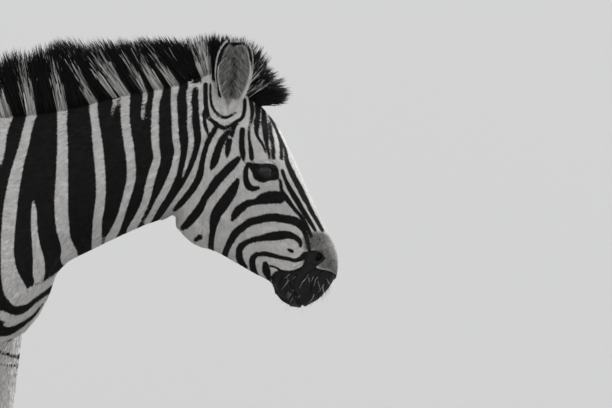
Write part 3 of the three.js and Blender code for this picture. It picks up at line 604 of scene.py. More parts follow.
points = corners(mesh) / MM
facing = normals(mesh)
LOOK = np.array([0.33, 0.94, 0.07]) / np.linalg.norm([0.33, 0.94, 0.07])
SLIT = np.array([0.93, -0.30, -0.22])
SLIT = (SLIT - LOOK * (SLIT @ LOOK)) / np.linalg.norm(SLIT - LOOK * (SLIT @ LOOK))
UP = np.cross(SLIT, LOOK)
UP = UP * np.sign(UP[2])
LID = 2.0
bare = np.zeros(len(points))
for sign in (-1, 1):
    flip = np.array([1, sign, 1])
    q = points - EYE * flip
    rho = np.linalg.norm(q, axis=1)
    n, u, v = q @ (LOOK * flip), q @ (SLIT * flip), q @ (UP * flip)
    a, b = np.arctan2(u, n), np.arctan2(v, n)
    arch = np.sqrt(np.maximum(1 - (a / 0.98) ** 2, 0))
    edge = np.where(b > 0, b - 0.60 * arch ** 0.8, -b - 0.46 * arch)
    edge = np.where(np.abs(a) > 0.98, np.hypot(np.abs(a) - 0.98, b), edge)
    front = (n > 2) & (rho < 60)
    opening = front & (edge < 0)
    lid = front & (edge >= 0) & (edge < 0.75)
    over = EYE_RADIUS + LID - 1.2 * smooth_step(edge, 0.35, 0.75)
    new = np.where(opening, EYE_RADIUS - 5, np.where(lid, np.maximum(rho, over), rho))
    crease = np.exp(-((edge - 0.42) / 0.09) ** 2) * front * (edge > 0.05)
    new = new - crease * np.where(b > 0, 2.4, 1.2) * (np.abs(a) < 1.1)
    points = EYE * flip + q * (new / np.maximum(rho, 1e-6))[:, None]
    bare = np.maximum(bare, front * (1 - smooth_step(edge, 0.1, 0.3)))

    at = np.array([977, 46, 996]) * flip
    q = points - at
    along = q @ np.array([0.55, 0, 0.83])
    across = q @ np.array([0.83, 0, -0.55])
    near = np.linalg.norm(q, axis=1) < 34
    comma = np.hypot(along / 13, (across + 0.12 * along + 0.02 * along ** 2) / 6.5)
    hollow = 11 * (1 - smooth_step(comma, 0.45, 1.05))
    rim = 2.6 * np.exp(-((comma - 1.45) / 0.35) ** 2) * smooth_step(-across, -12, 4)
    points = points + near[:, None] * (-flip * (0.25, 1, 0)) * hollow[:, None]
    points = points + near[:, None] * facing * rim[:, None]
FOLDS = [[(985, 962), (972, 948), (960, 930), (955, 912)], [(1000, 955), (990, 938), (978, 920), (968, 900)],
         [(968, 965), (952, 955), (938, 938)], [(925, 952), (918, 936), (920, 920)], [(895, 948), (889, 932),
         (893, 912)], [(878, 925), (890, 905), (912, 893)], [(1008, 940), (998, 922), (985, 908)],
         [(880, 908), (893, 893), (908, 884)], [(944, 985), (936, 975), (922, 968)]]
at = drawn(points)
mouth = from_lines(at, [[(942, 878, 0), (934, 888, 0), (925, 902, 0), (915, 922, 0), (904, 944, 0)]])
muzzle = (points[:, 2] < 1000) & (points[:, 0] > 860)
points -= facing * (muzzle * 4.2 * np.exp(-(mouth / 2.2) ** 2))[:, None]
points += facing * (muzzle * 1.4 * np.exp(-((mouth - 6) / 3.5) ** 2))[:, None]
for line in FOLDS:
    away = from_lines(at, [[(px, pz, 0) for px, pz in line]])
    points -= facing * (muzzle * 2.2 * np.exp(-(away / 1.9) ** 2))[:, None]
    points += facing * (muzzle * 1.2 * np.exp(-((away - 4.5) / 2.4) ** 2))[:, None]
set_corners(mesh, points * MM)
# Markings on the skin: the same as those of the hair over it, with the dark rims, grey lining and dark
# streak of the ears, and the rings of the tail. The lining is left white along each ear's front edge, for
# pale edge hair and partly as painted light.


def attribute(mesh, name, values):
    kind = "FLOAT_VECTOR" if np.ndim(values) == 2 else "FLOAT"
    layer = mesh.attributes.new(name, kind, "POINT")
    field = "vector" if kind == "FLOAT_VECTOR" else "value"
    layer.data.foreach_set(field, np.asarray(values, np.float32).ravel())


facing = normals(mesh)
mark, grey = marking(points, facing)
ear = in_ear(points)
q, up, _, tall = ear_place(points)
out = q * (1, 1, 0)
mirror_facing = facing * np.stack([np.ones(len(facing)), np.sign(points[:, 1]), np.ones(len(facing))], 1)
inner = smooth_step(-np.sum(mirror_facing * (out + (0, -4, 0)), 1), 1, 8) * ear
across = q[:, 0]
edge = np.minimum(ear_half(up) - np.abs(across), (0.96 - up) * tall * 0.8)
top = smooth_step(up, 0.66, 0.74)
black_rim = 9.5 * top + np.where(across < 0, 4.5 - 4 * top, -2.0) - edge
back = np.minimum(up - 0.6, 0.93 - up) * tall
ear_mark = np.where(inner > 0.4, -black_rim, np.minimum(-back, np.maximum(-black_rim, edge - 9)))
mark = mark * (1 - ear) + np.clip(ear_mark, -8, 8) * ear
wave = across + 4 * np.sin(up * 19) + 2 * np.sin(up * 47)
middle_streak = np.exp(-(wave / 6.5) ** 2) * smooth_step(up, 0.16, 0.3) * smooth_step(-up, -0.9, -0.78)
# Partly painted light: the lining is left white along the ear's front edge, for pale edge hair and for the
# sun catching that edge.
pale_and_sunlit_front = smooth_step(across - ear_half(up), -10, -4) * (1 - top)
inside = inner * smooth_step(edge, 5.5 + 3 * top, 8 + 3 * top) * (1 - pale_and_sunlit_front)
grey = np.maximum(grey * (1 - ear), inside * (0.58 + 0.6 * middle_streak))
bare = np.maximum(bare, smooth_step(-within(drawn(points), MUZZLE), -4, 8) * 0.7)
tail = on_tail(points)
mark = np.where(tail > 0.5, 7 * np.cos(points[:, 2] / 6.5) + 1, mark)
attribute(mesh, "mark", mark)
attribute(mesh, "grey", grey)
attribute(mesh, "bare", bare)
attribute(mesh, "tone", np.ones(len(points)))
# Zebra coat: short smooth hair, off-white or near black, with hair-fine breaks along the edges of the
# stripes. The black bare skin of the muzzle and lids is smoother and creased.


def colour(code):
    """An sRGB hex code as linear red, green, blue and alpha."""
    parts = [int(code[i:i + 2], 16) / 255 for i in (1, 3, 5)]
    return (*[c / 12.92 if c <= 0.04045 else ((c + 0.055) / 1.055) ** 2.4 for c in parts], 1)


def node(tree, kind, props=None, **inputs):
    """Adds a node. An input is named by its socket, or is i and the number of its socket."""
    made = tree.nodes.new(kind)
    for name, value in (props or {}).items():
        setattr(made, name, value)
    for name, value in inputs.items():
        by_place = name[0] == "i" and name[1:].isdigit()
        socket = made.inputs[int(name[1:])] if by_place else made.inputs[name.replace("_", " ")]
        if isinstance(value, bpy.types.NodeSocket):
            tree.links.new(value, socket)
        else:
            socket.default_value = value
    return made


def material(name):
    made = bpy.data.materials.new(name)
    made.use_nodes = True
    made.node_tree.nodes.clear()
    return made, made.node_tree


def coat(name, streaks):
    made, tree = material(name)
    place = node(tree, "ShaderNodeTexCoord").outputs["Object"]
    read = {}
    for value in ("mark", "grey", "tone", "bare"):
        read[value] = node(tree, "ShaderNodeAttribute", {"attribute_name": value}).outputs["Fac"]
    fray = node(tree, "ShaderNodeTexNoise", Vector=place, Scale=420.0, Detail=2.0, Roughness=0.6)
    spread = 1.5 if streaks else 0.8
    level = node(tree, "ShaderNodeMath", {"operation": "SUBTRACT"}, i0=read["mark"], i1=spread)
    shift = node(tree, "ShaderNodeMath", {"operation": "MULTIPLY_ADD"}, i0=fray.outputs["Fac"], i1=2 * spread,
                 i2=level.outputs[0])
    white = node(tree, "ShaderNodeMapRange", Value=shift.outputs[0], From_Min=-0.7, From_Max=0.7)
    blotch = node(tree, "ShaderNodeTexNoise", Vector=place, Scale=38.0, Detail=4.0, Roughness=0.62)
    pale = node(tree, "ShaderNodeMix", {"data_type": "RGBA"}, i0=blotch.outputs["Fac"])
    pale.inputs[6].default_value, pale.inputs[7].default_value = colour("#AAA8A5"), colour("#D6D4D1")
    dark = node(tree, "ShaderNodeMix", {"data_type": "RGBA"}, i0=blotch.outputs["Fac"])
    dark.inputs[6].default_value, dark.inputs[7].default_value = colour("#040404"), colour("#0C0B0A")
    striped = node(tree, "ShaderNodeMix", {"data_type": "RGBA"}, i0=white.outputs[0], i6=dark.outputs[2],
                   i7=pale.outputs[2])
    flecks = node(tree, "ShaderNodeTexNoise", Vector=place, Scale=260.0, Detail=3.0, Roughness=0.7)
    depth = node(tree, "ShaderNodeMapRange", Value=flecks.outputs["Fac"], From_Min=0.3, From_Max=0.7,
                 To_Min=0.72, To_Max=1.12)
    much = node(tree, "ShaderNodeMath", {"operation": "MULTIPLY", "use_clamp": True}, i0=read["grey"],
                i1=depth.outputs[0])
    greyed = node(tree, "ShaderNodeMix", {"data_type": "RGBA"}, i0=much.outputs[0], i6=striped.outputs[2])
    greyed.inputs[7].default_value = colour("#1E1D1B")
    toned = node(tree, "ShaderNodeHueSaturation", Color=greyed.outputs[2], Value=read["tone"])
    fine = node(tree, "ShaderNodeTexNoise", Vector=place, Scale=700.0, Detail=3.0, Roughness=0.55)
    relief = node(tree, "ShaderNodeBump", Height=fine.outputs["Fac"], Strength=0.35 if streaks else 0.1,
                  Distance=0.0012)
    folds = node(tree, "ShaderNodeTexNoise", Vector=place, Scale=120.0, Detail=3.0, Roughness=0.5,
                 Distortion=1.2)
    creased = node(tree, "ShaderNodeBump", Height=folds.outputs["Fac"], Strength=read["bare"], Distance=0.003,
                   Normal=relief.outputs[0])
    gloss = node(tree, "ShaderNodeMapRange", Value=read["bare"], To_Min=0.75, To_Max=0.42)
    finish = node(tree, "ShaderNodeBsdfPrincipled", Base_Color=toned.outputs[0], Normal=creased.outputs[0],
                  Roughness=gloss.outputs[0])
    finish.inputs["Specular IOR Level"].default_value = 0.22
    node(tree, "ShaderNodeOutputMaterial", Surface=finish.outputs[0])
    return made


short_coat = coat("short_coat", True)
loose_hair = coat("loose_hair", False)
mesh.materials.clear()
mesh.materials.append(short_coat)
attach(skin, "root")
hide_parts(*FLESH)

# Roots of the hair: where each one is, which way it faces and lies, and its markings. Hair lies back along
# the body, down the legs and face, and up the ears.

random = np.random.default_rng(11)


def lie(points, facing):
    """The way the hair lies, as a unit vector in the surface."""
    x, y, z = points[:, 0], points[:, 1], points[:, 2]
    side = np.sign(y)
    flow = np.stack([np.full(len(x), -1.0), 0 * x, -0.22 + 0 * x], 1)
    neck = smooth_step(x, 180, 380)[:, None]
    flow = flow * (1 - neck) + neck * (-0.82, 0, -0.57)
    breast = (smooth_step(x, 250, 380) * smooth_step(-z, -1020, -900))[:, None]
    flow = flow * (1 - breast) + breast * (-0.35, 0, -0.94)
    legs = smooth_step(-z, -860, -700)[:, None]
    flow = flow * (1 - legs) + legs * (-0.2, 0, -0.98)
    belly = smooth_step(-facing[:, 2], 0.5, 0.9) * smooth_step(x, -560, -450) * smooth_step(-x, -250, -150)
    flow = flow * (1 - belly)[:, None] + belly[:, None] * (-1, 0, 0)
    head = smooth_step(right_of(drawn(points), NAPE), -10, 30)[:, None]
    down_face = np.stack([0.45 + 0.25 * smooth_step(x, 830, 950), 0 * x, -0.85 + 0 * x], 1)
    cheek = (smooth_step(-x, -860, -740) * smooth_step(-z, -1240, -1120))[:, None]
    down_face = down_face * (1 - cheek) + cheek * (-0.2, 0, -0.98)
    poll = smooth_step(z, 1270, 1330)[:, None]
    down_face = down_face * (1 - poll) + poll * (-0.1, 0, 1)
    flow = flow * (1 - head) + head * down_face
    tail = on_tail(points)[:, None]
    flow = flow * (1 - tail) + tail * (-0.1, 0, -1)
    ear = in_ear(points)[:, None]
    flow = flow * (1 - ear) + ear * ear_place(points)[2]
    flow -= facing * np.sum(flow * facing, 1)[:, None]
    return flow / np.maximum(np.linalg.norm(flow, axis=1), 1e-6)[:, None]


mesh.calc_loop_triangles()
threes = np.empty(len(mesh.loop_triangles) * 3, np.int32)
mesh.loop_triangles.foreach_get("vertices", threes)
threes = threes.reshape(-1, 3)
facing = normals(mesh)
a, b, c = (points[threes[:, k]] for k in range(3))
areas = np.linalg.norm(np.cross(b - a, c - a), axis=1) / 2
middles = points[threes].mean(1)
flow = lie(points, facing)


def rooted(count, weight):
    """Roots spread over the skin by area and weight, with what the skin is at each."""
    chance = areas * weight
    which = random.choice(len(threes), count, p=chance / chance.sum())
    r1, r2 = np.sqrt(random.random(count)), random.random(count)
    share = np.stack([1 - r1, r1 * (1 - r2), r1 * r2], 1)
    values = {"at": points, "facing": facing, "flow": flow, "mark": mark, "grey": grey,
              "plain": np.maximum(ear, tail)}
    return {key: np.einsum("nk,nk...->n...", share, value[threes[which]]) for key, value in values.items()}


# Short coat: flat three-edged tufts of hair, smallest on the face and feet. Each has a small patch on an
# unwrap of the whole animal: the body and neck round their length, and the head, legs, ears and tail round
# theirs.

BODY_MIDDLE = [(-960, 1030), (-640, 990), (-200, 940), (100, 990), (320, 1100), (480, 1160), (700, 1260)]
LEGS = [(200, -1, 20, 300), (240, 1, 20, 300), (-820, -1, -1000, -480), (-790, 1, -1000, -480)]
PATCH = 0.003
TUFT = np.array([(0, 3, 2), (1, 2, 3), (0, 1, 3), (0, 2, 1)])
TUFT_PATCH = np.array([(-0.5, -0.5), (0.5, -0.5), (0.1, 0.0), (0.0, 0.5)])
FRINGE = 3.0  # how far short of its tip a tuft takes its colour


def unwrap(points, small):
    """The place of each point on the unwrap, at least small from its edges."""
    x, y, z = points[:, 0], points[:, 1], points[:, 2]
    line = np.array(BODY_MIDDLE, float)
    middle = np.interp(x, line[:, 0], line[:, 1])
    uv = np.stack([(x + 1000) / 1800, 0.74 + 0.24 * np.arctan2(y, z - middle) / math.pi], 1)
    foot = np.array([740, 1380.0]), np.array([960, 920.0])
    axis = (foot[1] - foot[0]) / np.linalg.norm(foot[1] - foot[0])
    q = points[:, [0, 2]] - foot[0]
    down = q @ axis
    across = q @ np.array([-axis[1], axis[0]]) - 0.12 * down + 60
    head = np.stack([(down + 80) / 640 * 0.4, 0.36 + 0.11 * np.arctan2(y, across) / math.pi], 1)
    is_head = right_of(drawn(points), NAPE) > 0
    uv = np.where(is_head[:, None], head, uv)
    for k, (x0, y0, low, high) in enumerate(LEGS):
        leg = (z < 760) & (np.sign(y) == y0) & (x > low) & (x < high)
        turn = np.arctan2(x - x0, np.abs(y) - 104) / math.pi
        uv = np.where(leg[:, None], np.stack([0.45 + z / 760 * 0.5, 0.06 + 0.11 * k + 0.045 * turn], 1), uv)
    ear = in_ear(points) > 0.5
    q = ear_place(points)[0]
    turn = np.arctan2(q[:, 0], -q[:, 1]) / math.pi
    row = np.where(y < 0, 0.06, 0.17) + 0.045 * turn
    uv = np.where(ear[:, None], np.stack([0.05 + 0.35 * q[:, 2] / 200, row], 1), uv)
    tail = x < -945
    uv = np.where(tail[:, None], np.stack([0.03 + 0.35 * (z - 440) / 800, 0.235 + 0.008 * np.sign(y)], 1), uv)
    return np.clip(uv, small, 1 - small)


def triangles(name, points, faces):
    mesh = bpy.data.meshes.new(name)
    mesh.vertices.add(len(points))
    mesh.vertices.foreach_set("co", np.asarray(points, np.float32).ravel())
    mesh.loops.add(faces.size)
    mesh.loops.foreach_set("vertex_index", np.asarray(faces, np.int32).ravel())
    mesh.polygons.add(len(faces))
    mesh.polygons.foreach_set("loop_start", np.arange(0, faces.size, 3, dtype=np.int32))
    mesh.update(calc_edges=True)
    mesh.polygons.foreach_set("use_smooth", np.ones(len(faces), bool))
    return mesh


def finished(name, mesh, centre, offsets, values, faces):
    uv = (centre[:, None, :] + PATCH * offsets[None]).reshape(-1, 2)
    layer = mesh.uv_layers.new(name="OFBake")
    layer.uv.foreach_set("vector", uv[faces.ravel()].astype(np.float32).ravel())
    for key, value in values.items():
        attribute(mesh, key, value)
    piece = new_piece(name, mesh, loose_hair)
    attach(piece, "root")
    return piece


def tufts(name, roots, length, width, lift, spread=0.16, follow=True):
    """A tuft on each root. With follow, its markings are those of the places under its foot and tip."""
    n = len(roots["at"])
    sizes = [np.broadcast_to(v, n) * (0.75 + 0.5 * random.random(n)) for v in (length, width, lift)]
    length, width, lift = sizes
    up = unit(roots["facing"])
    way = unit(roots["flow"] + spread * random.normal(size=(n, 3)))
    way = unit(way - up * np.sum(way * up, 1)[:, None])
    across = np.cross(up, way)
    foot = roots["at"] - up * 0.4
    tip = foot + way * length[:, None] + up * (lift + 0.4)[:, None]
    ridge = foot + way * (0.42 * length)[:, None] + up * (0.75 * lift + 0.4)[:, None]
    made = np.stack([foot - across * width[:, None] / 2, foot + across * width[:, None] / 2, ridge, tip], 1)
    faces = (4 * np.arange(n)[:, None, None] + TUFT[None]).reshape(-1, 3)
    mesh = triangles(name, made.reshape(-1, 3) * MM, faces)
    tone = 0.86 + 0.3 * random.random(n)
    ends = [roots["mark"], roots["mark"]]
    if follow:
        for k, at in enumerate((roots["at"], roots["at"] + way * np.maximum(length - FRINGE, 0)[:, None])):
            ends[k] = np.where(roots["plain"] > 0.3, roots["mark"], marking(at, up)[0])
    ends = [e + random.normal(size=n) * 0.5 for e in ends]
    stripes = np.stack([ends[0], ends[0], 0.58 * ends[0] + 0.42 * ends[1], ends[1]], 1)
    lean = unit(up + 0.28 * random.normal(size=(n, 3)))
    mesh.normals_split_custom_set_from_vertices(np.repeat(lean, 4, 0).tolist())
    values = {"mark": stripes.ravel(), "grey": np.repeat(roots["grey"], 4), "tone": np.repeat(tone, 4)}
    return finished(name, mesh, unwrap(roots["at"], PATCH), TUFT_PATCH, values, faces)


x, y, z = middles.T
right = right_of(drawn(middles), NAPE)
on_head, on_ear = smooth_step(right, -8, 8), in_ear(middles)
on_leg = smooth_step(-z, -720, -640)
free = 1 - smooth_step(bare[threes].mean(1), 0.3, 0.6)
soft = free * (1 - smooth_step(-x, 930, 945))
front = smooth_step(x, 150, 230)

head = rooted(48000, on_head * free * (1 - on_ear))
size = 5.5 + 4.5 * smooth_step(np.linalg.norm(head["at"] - (990, 0, 960), axis=1), 60, 330)
tufts("fur_head", head, size, size * 0.17, 0.9 + 0.05 * size)
neck = rooted(48000, (1 - on_head) * front * soft * (1 - on_leg))
tufts("fur_neck", neck, 13, 2.0, 1.7)
body = rooted(48000, (1 - front) * soft * (1 - on_leg) * smooth_step(x, -420, -400))
tufts("fur_barrel", body, 16, 2.8, 2.0)
body = rooted(48000, (1 - smooth_step(x, -420, -400)) * soft * (1 - on_leg))
tufts("fur_quarters", body, 16, 2.8, 2.0)
legs = rooted(40000, on_leg * soft)
size = 6.5 + 4.5 * smooth_step(legs["at"][:, 2], 150, 600)
tufts("fur_legs", legs, size, size * 0.2, 1.2)
ears = rooted(9000, on_ear)
tufts("fur_ears", ears, 5.5, 1.1, 1.3, 0.3, follow=False)

# Mane: stiff upright locks on the crest, whose tips come together in points. The stripes of the neck run on
# up into it, and most of its tips are black.

surface = BVHTree.FromPolygons((points * MM).tolist(), threes.tolist())

LOCK_RINGS = 4
LOCK = []
for k in range(LOCK_RINGS - 1):
    for j in range(3):
        a, b, c, d = 3 * k + j, 3 * k + (j + 1) % 3, 3 * k + 3 + j, 3 * k + 3 + (j + 1) % 3
        LOCK += [(a, b, d), (a, d, c)]
tip = 3 * LOCK_RINGS
LOCK += [(tip - 3, tip - 2, tip), (tip - 2, tip - 1, tip), (tip - 1, tip - 3, tip), (0, 2, 1)]
LOCK = np.array(LOCK)
LOCK_PATCH = [(x, k / LOCK_RINGS - 0.5) for k in range(LOCK_RINGS) for x in (-0.4, 0.4, 0.1)]
LOCK_PATCH = np.array([*LOCK_PATCH, (0.0, 0.5)])
TAPER = np.array([1.0, 0.95, 0.8, 0.5])
SHARE = np.array([0.0, 0.28, 0.55, 0.8, 1.0])


def locks(name, start, way, bend, length, width, mark, grey, tone):
    """Tapered three-sided locks from each root: they set off along way and turn towards bend by the tip."""
    n = len(start)
    t = SHARE[None, :, None]
    turned = way[:, None] * (t - 0.5 * t * t) + bend[:, None] * 0.5 * t * t
    run = start[:, None] + length[:, None, None] * turned
    across = unit(np.cross(way, random.normal(size=(n, 3)) * 0.3 + np.array([0, 1.0, 0.0])))
    third = np.cross(way, across)
    w = (width[:, None] * TAPER[None])[..., None] / 2
    core = run[:, :-1]
    rings = np.stack([core + w * across[:, None], core - w * (0.5 * across - 0.87 * third)[:, None],
                      core - w * (0.5 * across + 0.87 * third)[:, None]], 2)
    made = np.concatenate([rings.reshape(n, -1, 3), run[:, -1:]], 1)
    per = 3 * LOCK_RINGS + 1
    faces = (per * np.arange(n)[:, None, None] + LOCK[None]).reshape(-1, 3)
    mesh = triangles(name, made.reshape(-1, 3) * MM, faces)
    place = np.append(np.repeat(SHARE[:-1], 3), 1.0)
    values = {"mark": mark(place[None]).ravel(), "grey": np.broadcast_to(grey[:, None], (n, per)).ravel(),
              "tone": np.broadcast_to(tone[:, None], (n, per)).ravel()}
    return finished(name, mesh, unwrap(start, PATCH), LOCK_PATCH, values, faces)


def crest(x, y):
    """The skin under a point of the crest."""
    made = []
    for px, py in zip(x, y):
        hit = surface.ray_cast(Vector((px * MM, py * MM, 1.6)), Vector((0, 0, -1)))[0]
        made.append(hit.z / MM if hit else 1300)
    return np.array(made)


MANE_TOP = [(0, 1290), (50, 1330), (110, 1380), (190, 1424), (276, 1447), (318, 1455), (359, 1466),
            (410, 1476), (456, 1478), (510, 1476), (569, 1478), (644, 1482), (716, 1485), (780, 1487),
            (830, 1470)]
LEAN = [(0, 22), (276, 20), (302, 18), (357, 10), (412, 9), (440, 16), (484, 31), (521, 37), (560, 33),
        (598, 29), (664, 35), (703, 35), (730, 13), (750, 2), (782, -6)]

n = 8800
rx = random.uniform(4, 790, n)
ry = np.clip(random.normal(size=n) * 7, -15, 15)
rz = crest(rx, ry) - 1.5
lean = np.radians(np.interp(rx, *np.array(LEAN, float).T) + 3.2 * random.normal(size=n))
way = np.stack([-np.sin(lean), ry * 0.012 + 0.05 * random.normal(size=n), np.cos(lean)], 1)
way = unit(way)
length = np.full(n, 120.0)
for _ in range(6):
    top = np.interp(rx - np.sin(lean) * length, *np.array(MANE_TOP, float).T)
    length = 0.5 * length + 0.5 * (top - rz) / np.cos(lean)
length *= 0.66 + 0.33 * random.random(n) ** 0.6 + 0.05 * np.sin(rx / 9.3) * np.sin(rx / 31)
length *= 1 - 0.35 * (np.abs(ry) / 15) ** 2
CLUMP = 17
cell = np.round((rx + 30 * np.sin(np.round(ry / 7))) / CLUMP)
centre = cell * CLUMP - 30 * np.sin(np.round(ry / 7))
pull = (centre - rx) / np.maximum(length, 30)
swing = [0.8 * pull + 0.07 * random.normal(size=n), -ry * 0.02 + 0.05 * random.normal(size=n), 0 * rx]
bend = unit(way + np.stack(swing, 1))
root = np.stack([rx, ry, rz], 1)
root_mark, _ = marking(root, np.tile([0, 0.0, 0.3], (n, 1)))
root_mark = np.where(rx > 690, 8 - 0.75 * np.abs(rx - 729), root_mark) + 1.2 * random.normal(size=n)
reach = np.clip(0.70 + 0.14 * random.normal(size=n) + 0.3 * smooth_step(rx, 700, 760), 0.2, 1.2)
shade = random.random(n)
width = 2.4 + 1.2 * random.random(n)
tone = 0.75 + 0.45 * random.random(n)
mane = locks("mane_hair", root, way, bend, length, width,
             lambda t: np.where(t < reach[:, None], root_mark[:, None], -6),
             0.5 * (shade < 0.18) * (root_mark > 0), tone)
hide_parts("mane")

# Forelock: the same stiff hair as the mane, fanned forward between the ears. Its tips come together in
# spikes, and pale streaks run through it.

FORE_ROOTS = [(0, 778, 1366), (0.25, 794, 1360), (0.5, 808, 1348), (0.75, 822, 1333), (1, 836, 1312)]
FORE_TIPS = [(0, 790, 1484), (0.2, 826, 1470), (0.42, 872, 1436), (0.62, 900, 1398), (0.8, 916, 1358),
             (1, 912, 1328)]
n = 3000
k = random.random(n)
ry = np.clip(random.normal(size=n) * 9, -19, 19)
FR, FT = np.array(FORE_ROOTS, float), np.array(FORE_TIPS, float)
rx = np.interp(k, FR[:, 0], FR[:, 1]) + random.normal(size=n) * 3
rz = crest(rx, ry) - 2
aim = np.stack([np.interp(k, FT[:, 0], FT[:, 1]), ry * 1.2, np.interp(k, FT[:, 0], FT[:, 2])], 1)
root = np.stack([rx, ry, rz], 1)
spike = np.round(k * 19 + 3 * np.sin(np.round(ry / 5) * 2.3)) / 19
pull = spike - k
gap = aim - root
ragged = 0.84 + 0.18 * np.sin(spike * 97) * np.cos(spike * 31)
length = np.linalg.norm(gap, axis=1) * (0.55 + 0.45 * random.random(n) ** 0.6) * ragged * 1.06
way = unit(unit(gap) + 0.11 * random.normal(size=(n, 3)) + (0, 0, 0.12))
bend = unit(unit(gap) + np.stack([0.8 * pull, 0 * pull, -1.1 * pull], 1) + (0, 0, -0.1))
streak = np.exp(-((k - 0.42) / 0.05) ** 2) + np.exp(-((k - 0.62) / 0.04) ** 2)
streak += 0.5 * np.exp(-((k - 0.02) / 0.05) ** 2)
pale = random.random(n) < 0.9 * streak
reach = 0.55 + 0.4 * random.random(n)
width = 1.8 + 1.2 * random.random(n)
tone = 0.7 + 0.4 * random.random(n)
forelock = locks("forelock_hair", root, way, bend, length, width,
                 lambda t: np.where((t < reach[:, None]) & pale[:, None], 6.0, -6.0), 0 * k, tone)
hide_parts("forelock")

# Tail hair: long straight hair of the tail's lower half, black with white among it at the top. It hangs free
# and ends unevenly.

n = 3200
rz = 690 + 240 * random.random(n) ** 1.3
turn = random.uniform(-math.pi, math.pi, n)
radius = 11 * np.sqrt(random.random(n)) + 3
root = np.stack([-990 + radius * np.cos(turn), radius * np.sin(turn), rz], 1)
way = unit(np.stack([0.16 * np.cos(turn), 0.16 * np.sin(turn), -np.ones(n)], 1))
bend = unit(np.stack([-0.05 * np.cos(turn) + 0.03, -0.06 * np.sin(turn), -np.ones(n)], 1))
length = np.minimum(170 + 110 * random.random(n), rz - 466 - 90 * random.random(n) ** 2)
pale = (random.random(n) < 0.4 * smooth_step(rz, 760, 900))
width = 2.2 + 1.6 * random.random(n)
tone = 0.7 + 0.4 * random.random(n)
locks("tail_hair", root, way, bend, length, width, lambda t: np.where(pale[:, None] & (t < 2), 6.0, -6.0),
      0 * rz, tone)

# Ear hair: longer, fine grey hair that lines the cup of each ear. It grows from both edges toward the middle,
# where it is darkest.

chosen = smooth_step(inside[threes].mean(1), 0.4, 0.7)
ears = rooted(2600, chosen)
n = len(ears["at"])
q, _, axis, _ = ear_place(ears["at"])
toward = -np.sign(q[:, 0])
way = unit(ears["facing"] * 0.5 + axis * 0.9 + np.stack([0.5 * toward, 0 * toward, 0 * toward], 1))
length = 9 + 10 * random.random(n)
random.random(n)  # not used: it keeps every draw after it as it is
width = 0.9 + 0.5 * random.random(n)
grizzle = np.clip(ears["grey"] + 0.35 * random.normal(size=n), 0, 1)
tone = 0.7 + 0.5 * random.random(n)
locks("ear_hair", ears["at"], way, unit(way - ears["facing"] * 0.5), length, width,
      lambda t: np.full((n, t.shape[1]), 5.0), grizzle, tone)

# Lashes, whiskers and the pale fringe along the edge of the ears: single stiff hairs. The whiskers grow on
# the lips and chin, and droop.

hairs = []
for sign, (tall, lean, splay) in ((-1, EARS["right"]), (1, EARS["left"])):
    flip = np.array([1, sign, 1])
    for k in range(420):
        up = random.uniform(0.3, 1.0) ** 0.7
        back = -1 if k % 3 else 1
        reach = float(ear_half(up)) - 1.5
        height = tall * min(up, 0.955)
        at = EAR_FOOT + np.array(
            [back * reach + lean * height, splay * height - random.uniform(0, 4), height])
        out = unit(np.array([back * (0.6 if up < 0.9 else 0.3), random.uniform(-0.1, 0.1), 0.9]))
        if up > 0.97:
            at[0] += random.uniform(-reach, reach) - back * reach
        bent = unit(out + np.array([-0.3 * back, 0, 0.3]))
        hairs.append((at * flip, out * flip, bent * flip, random.uniform(4, 7), 0.8, 5))
for sign in (-1, 1):
    flip = np.array([1, sign, 1])
    for a in np.linspace(-0.75, 0.8, 34):
        b = 0.60 * math.sqrt(1 - (a / 0.98) ** 2) ** 0.8
        d = math.cos(a) * math.cos(b) * LOOK + math.sin(a) * math.cos(b) * SLIT + math.sin(b) * UP
        start = EYE + d * (EYE_RADIUS + 1.2)
        out = unit(LOOK * 0.9 + UP * 0.1 + SLIT * a * 0.4)
        bent = unit(LOOK * 0.5 - UP * 0.5 + SLIT * a * 0.6)
        hairs.append((start * flip, out * flip, bent * flip, 11, 0.8, -6))
    for _ in range(46):
        at = np.array([random.uniform(905, 1004), random.uniform(20, 46), random.uniform(888, 962)])
        hit, normal, _, _ = surface.find_nearest(Vector(at * flip * MM))
        normal = np.array(normal)
        fan = random.uniform(-0.9, 0.5)
        out = unit(normal * 0.45 + (fan, 0, -0.7))
        bent = unit(normal * 0.1 + (fan - 0.9 * random.random(), 0, -0.8))
        long = random.uniform(10, 34)
        hairs.append((np.array(hit) / MM, out, bent, long, 0.75, 5 if random.random() < 0.8 else -5))
start, way, bend = (np.array([h[i] for h in hairs]) for i in range(3))
length, width, ink = (np.array([h[i] for h in hairs], float) for i in (3, 4, 5))
locks("lashes_and_whiskers", start, way, bend, length, width,
      lambda t: np.repeat(ink[:, None], t.shape[1], 1), 0 * ink, np.ones(len(ink)))

# Eyes: a wet ball with a clear bulging front, near black, with a dark brown iris round a level pupil. It sits
# in the hollow between the lids.

eye_gloss, tree = material("wet_dark_eye")
place = node(tree, "ShaderNodeTexCoord").outputs["Object"]
mottle = node(tree, "ShaderNodeTexNoise", Vector=place, Scale=900.0, Detail=4.0)
ring = node(tree, "ShaderNodeAttribute", {"attribute_name": "iris"}).outputs["Fac"]
browns = node(tree, "ShaderNodeMix", {"data_type": "RGBA"}, i0=mottle.outputs["Fac"])
browns.inputs[6].default_value, browns.inputs[7].default_value = colour("#070504"), colour("#1F1611")
eyes_colour = node(tree, "ShaderNodeMix", {"data_type": "RGBA"}, i0=ring, i7=browns.outputs[2])
eyes_colour.inputs[6].default_value = colour("#040303")
finish = node(tree, "ShaderNodeBsdfPrincipled", Base_Color=eyes_colour.outputs[2], Roughness=0.12)
finish.inputs["Specular IOR Level"].default_value = 0.35
node(tree, "ShaderNodeOutputMaterial", Surface=finish.outputs[0])

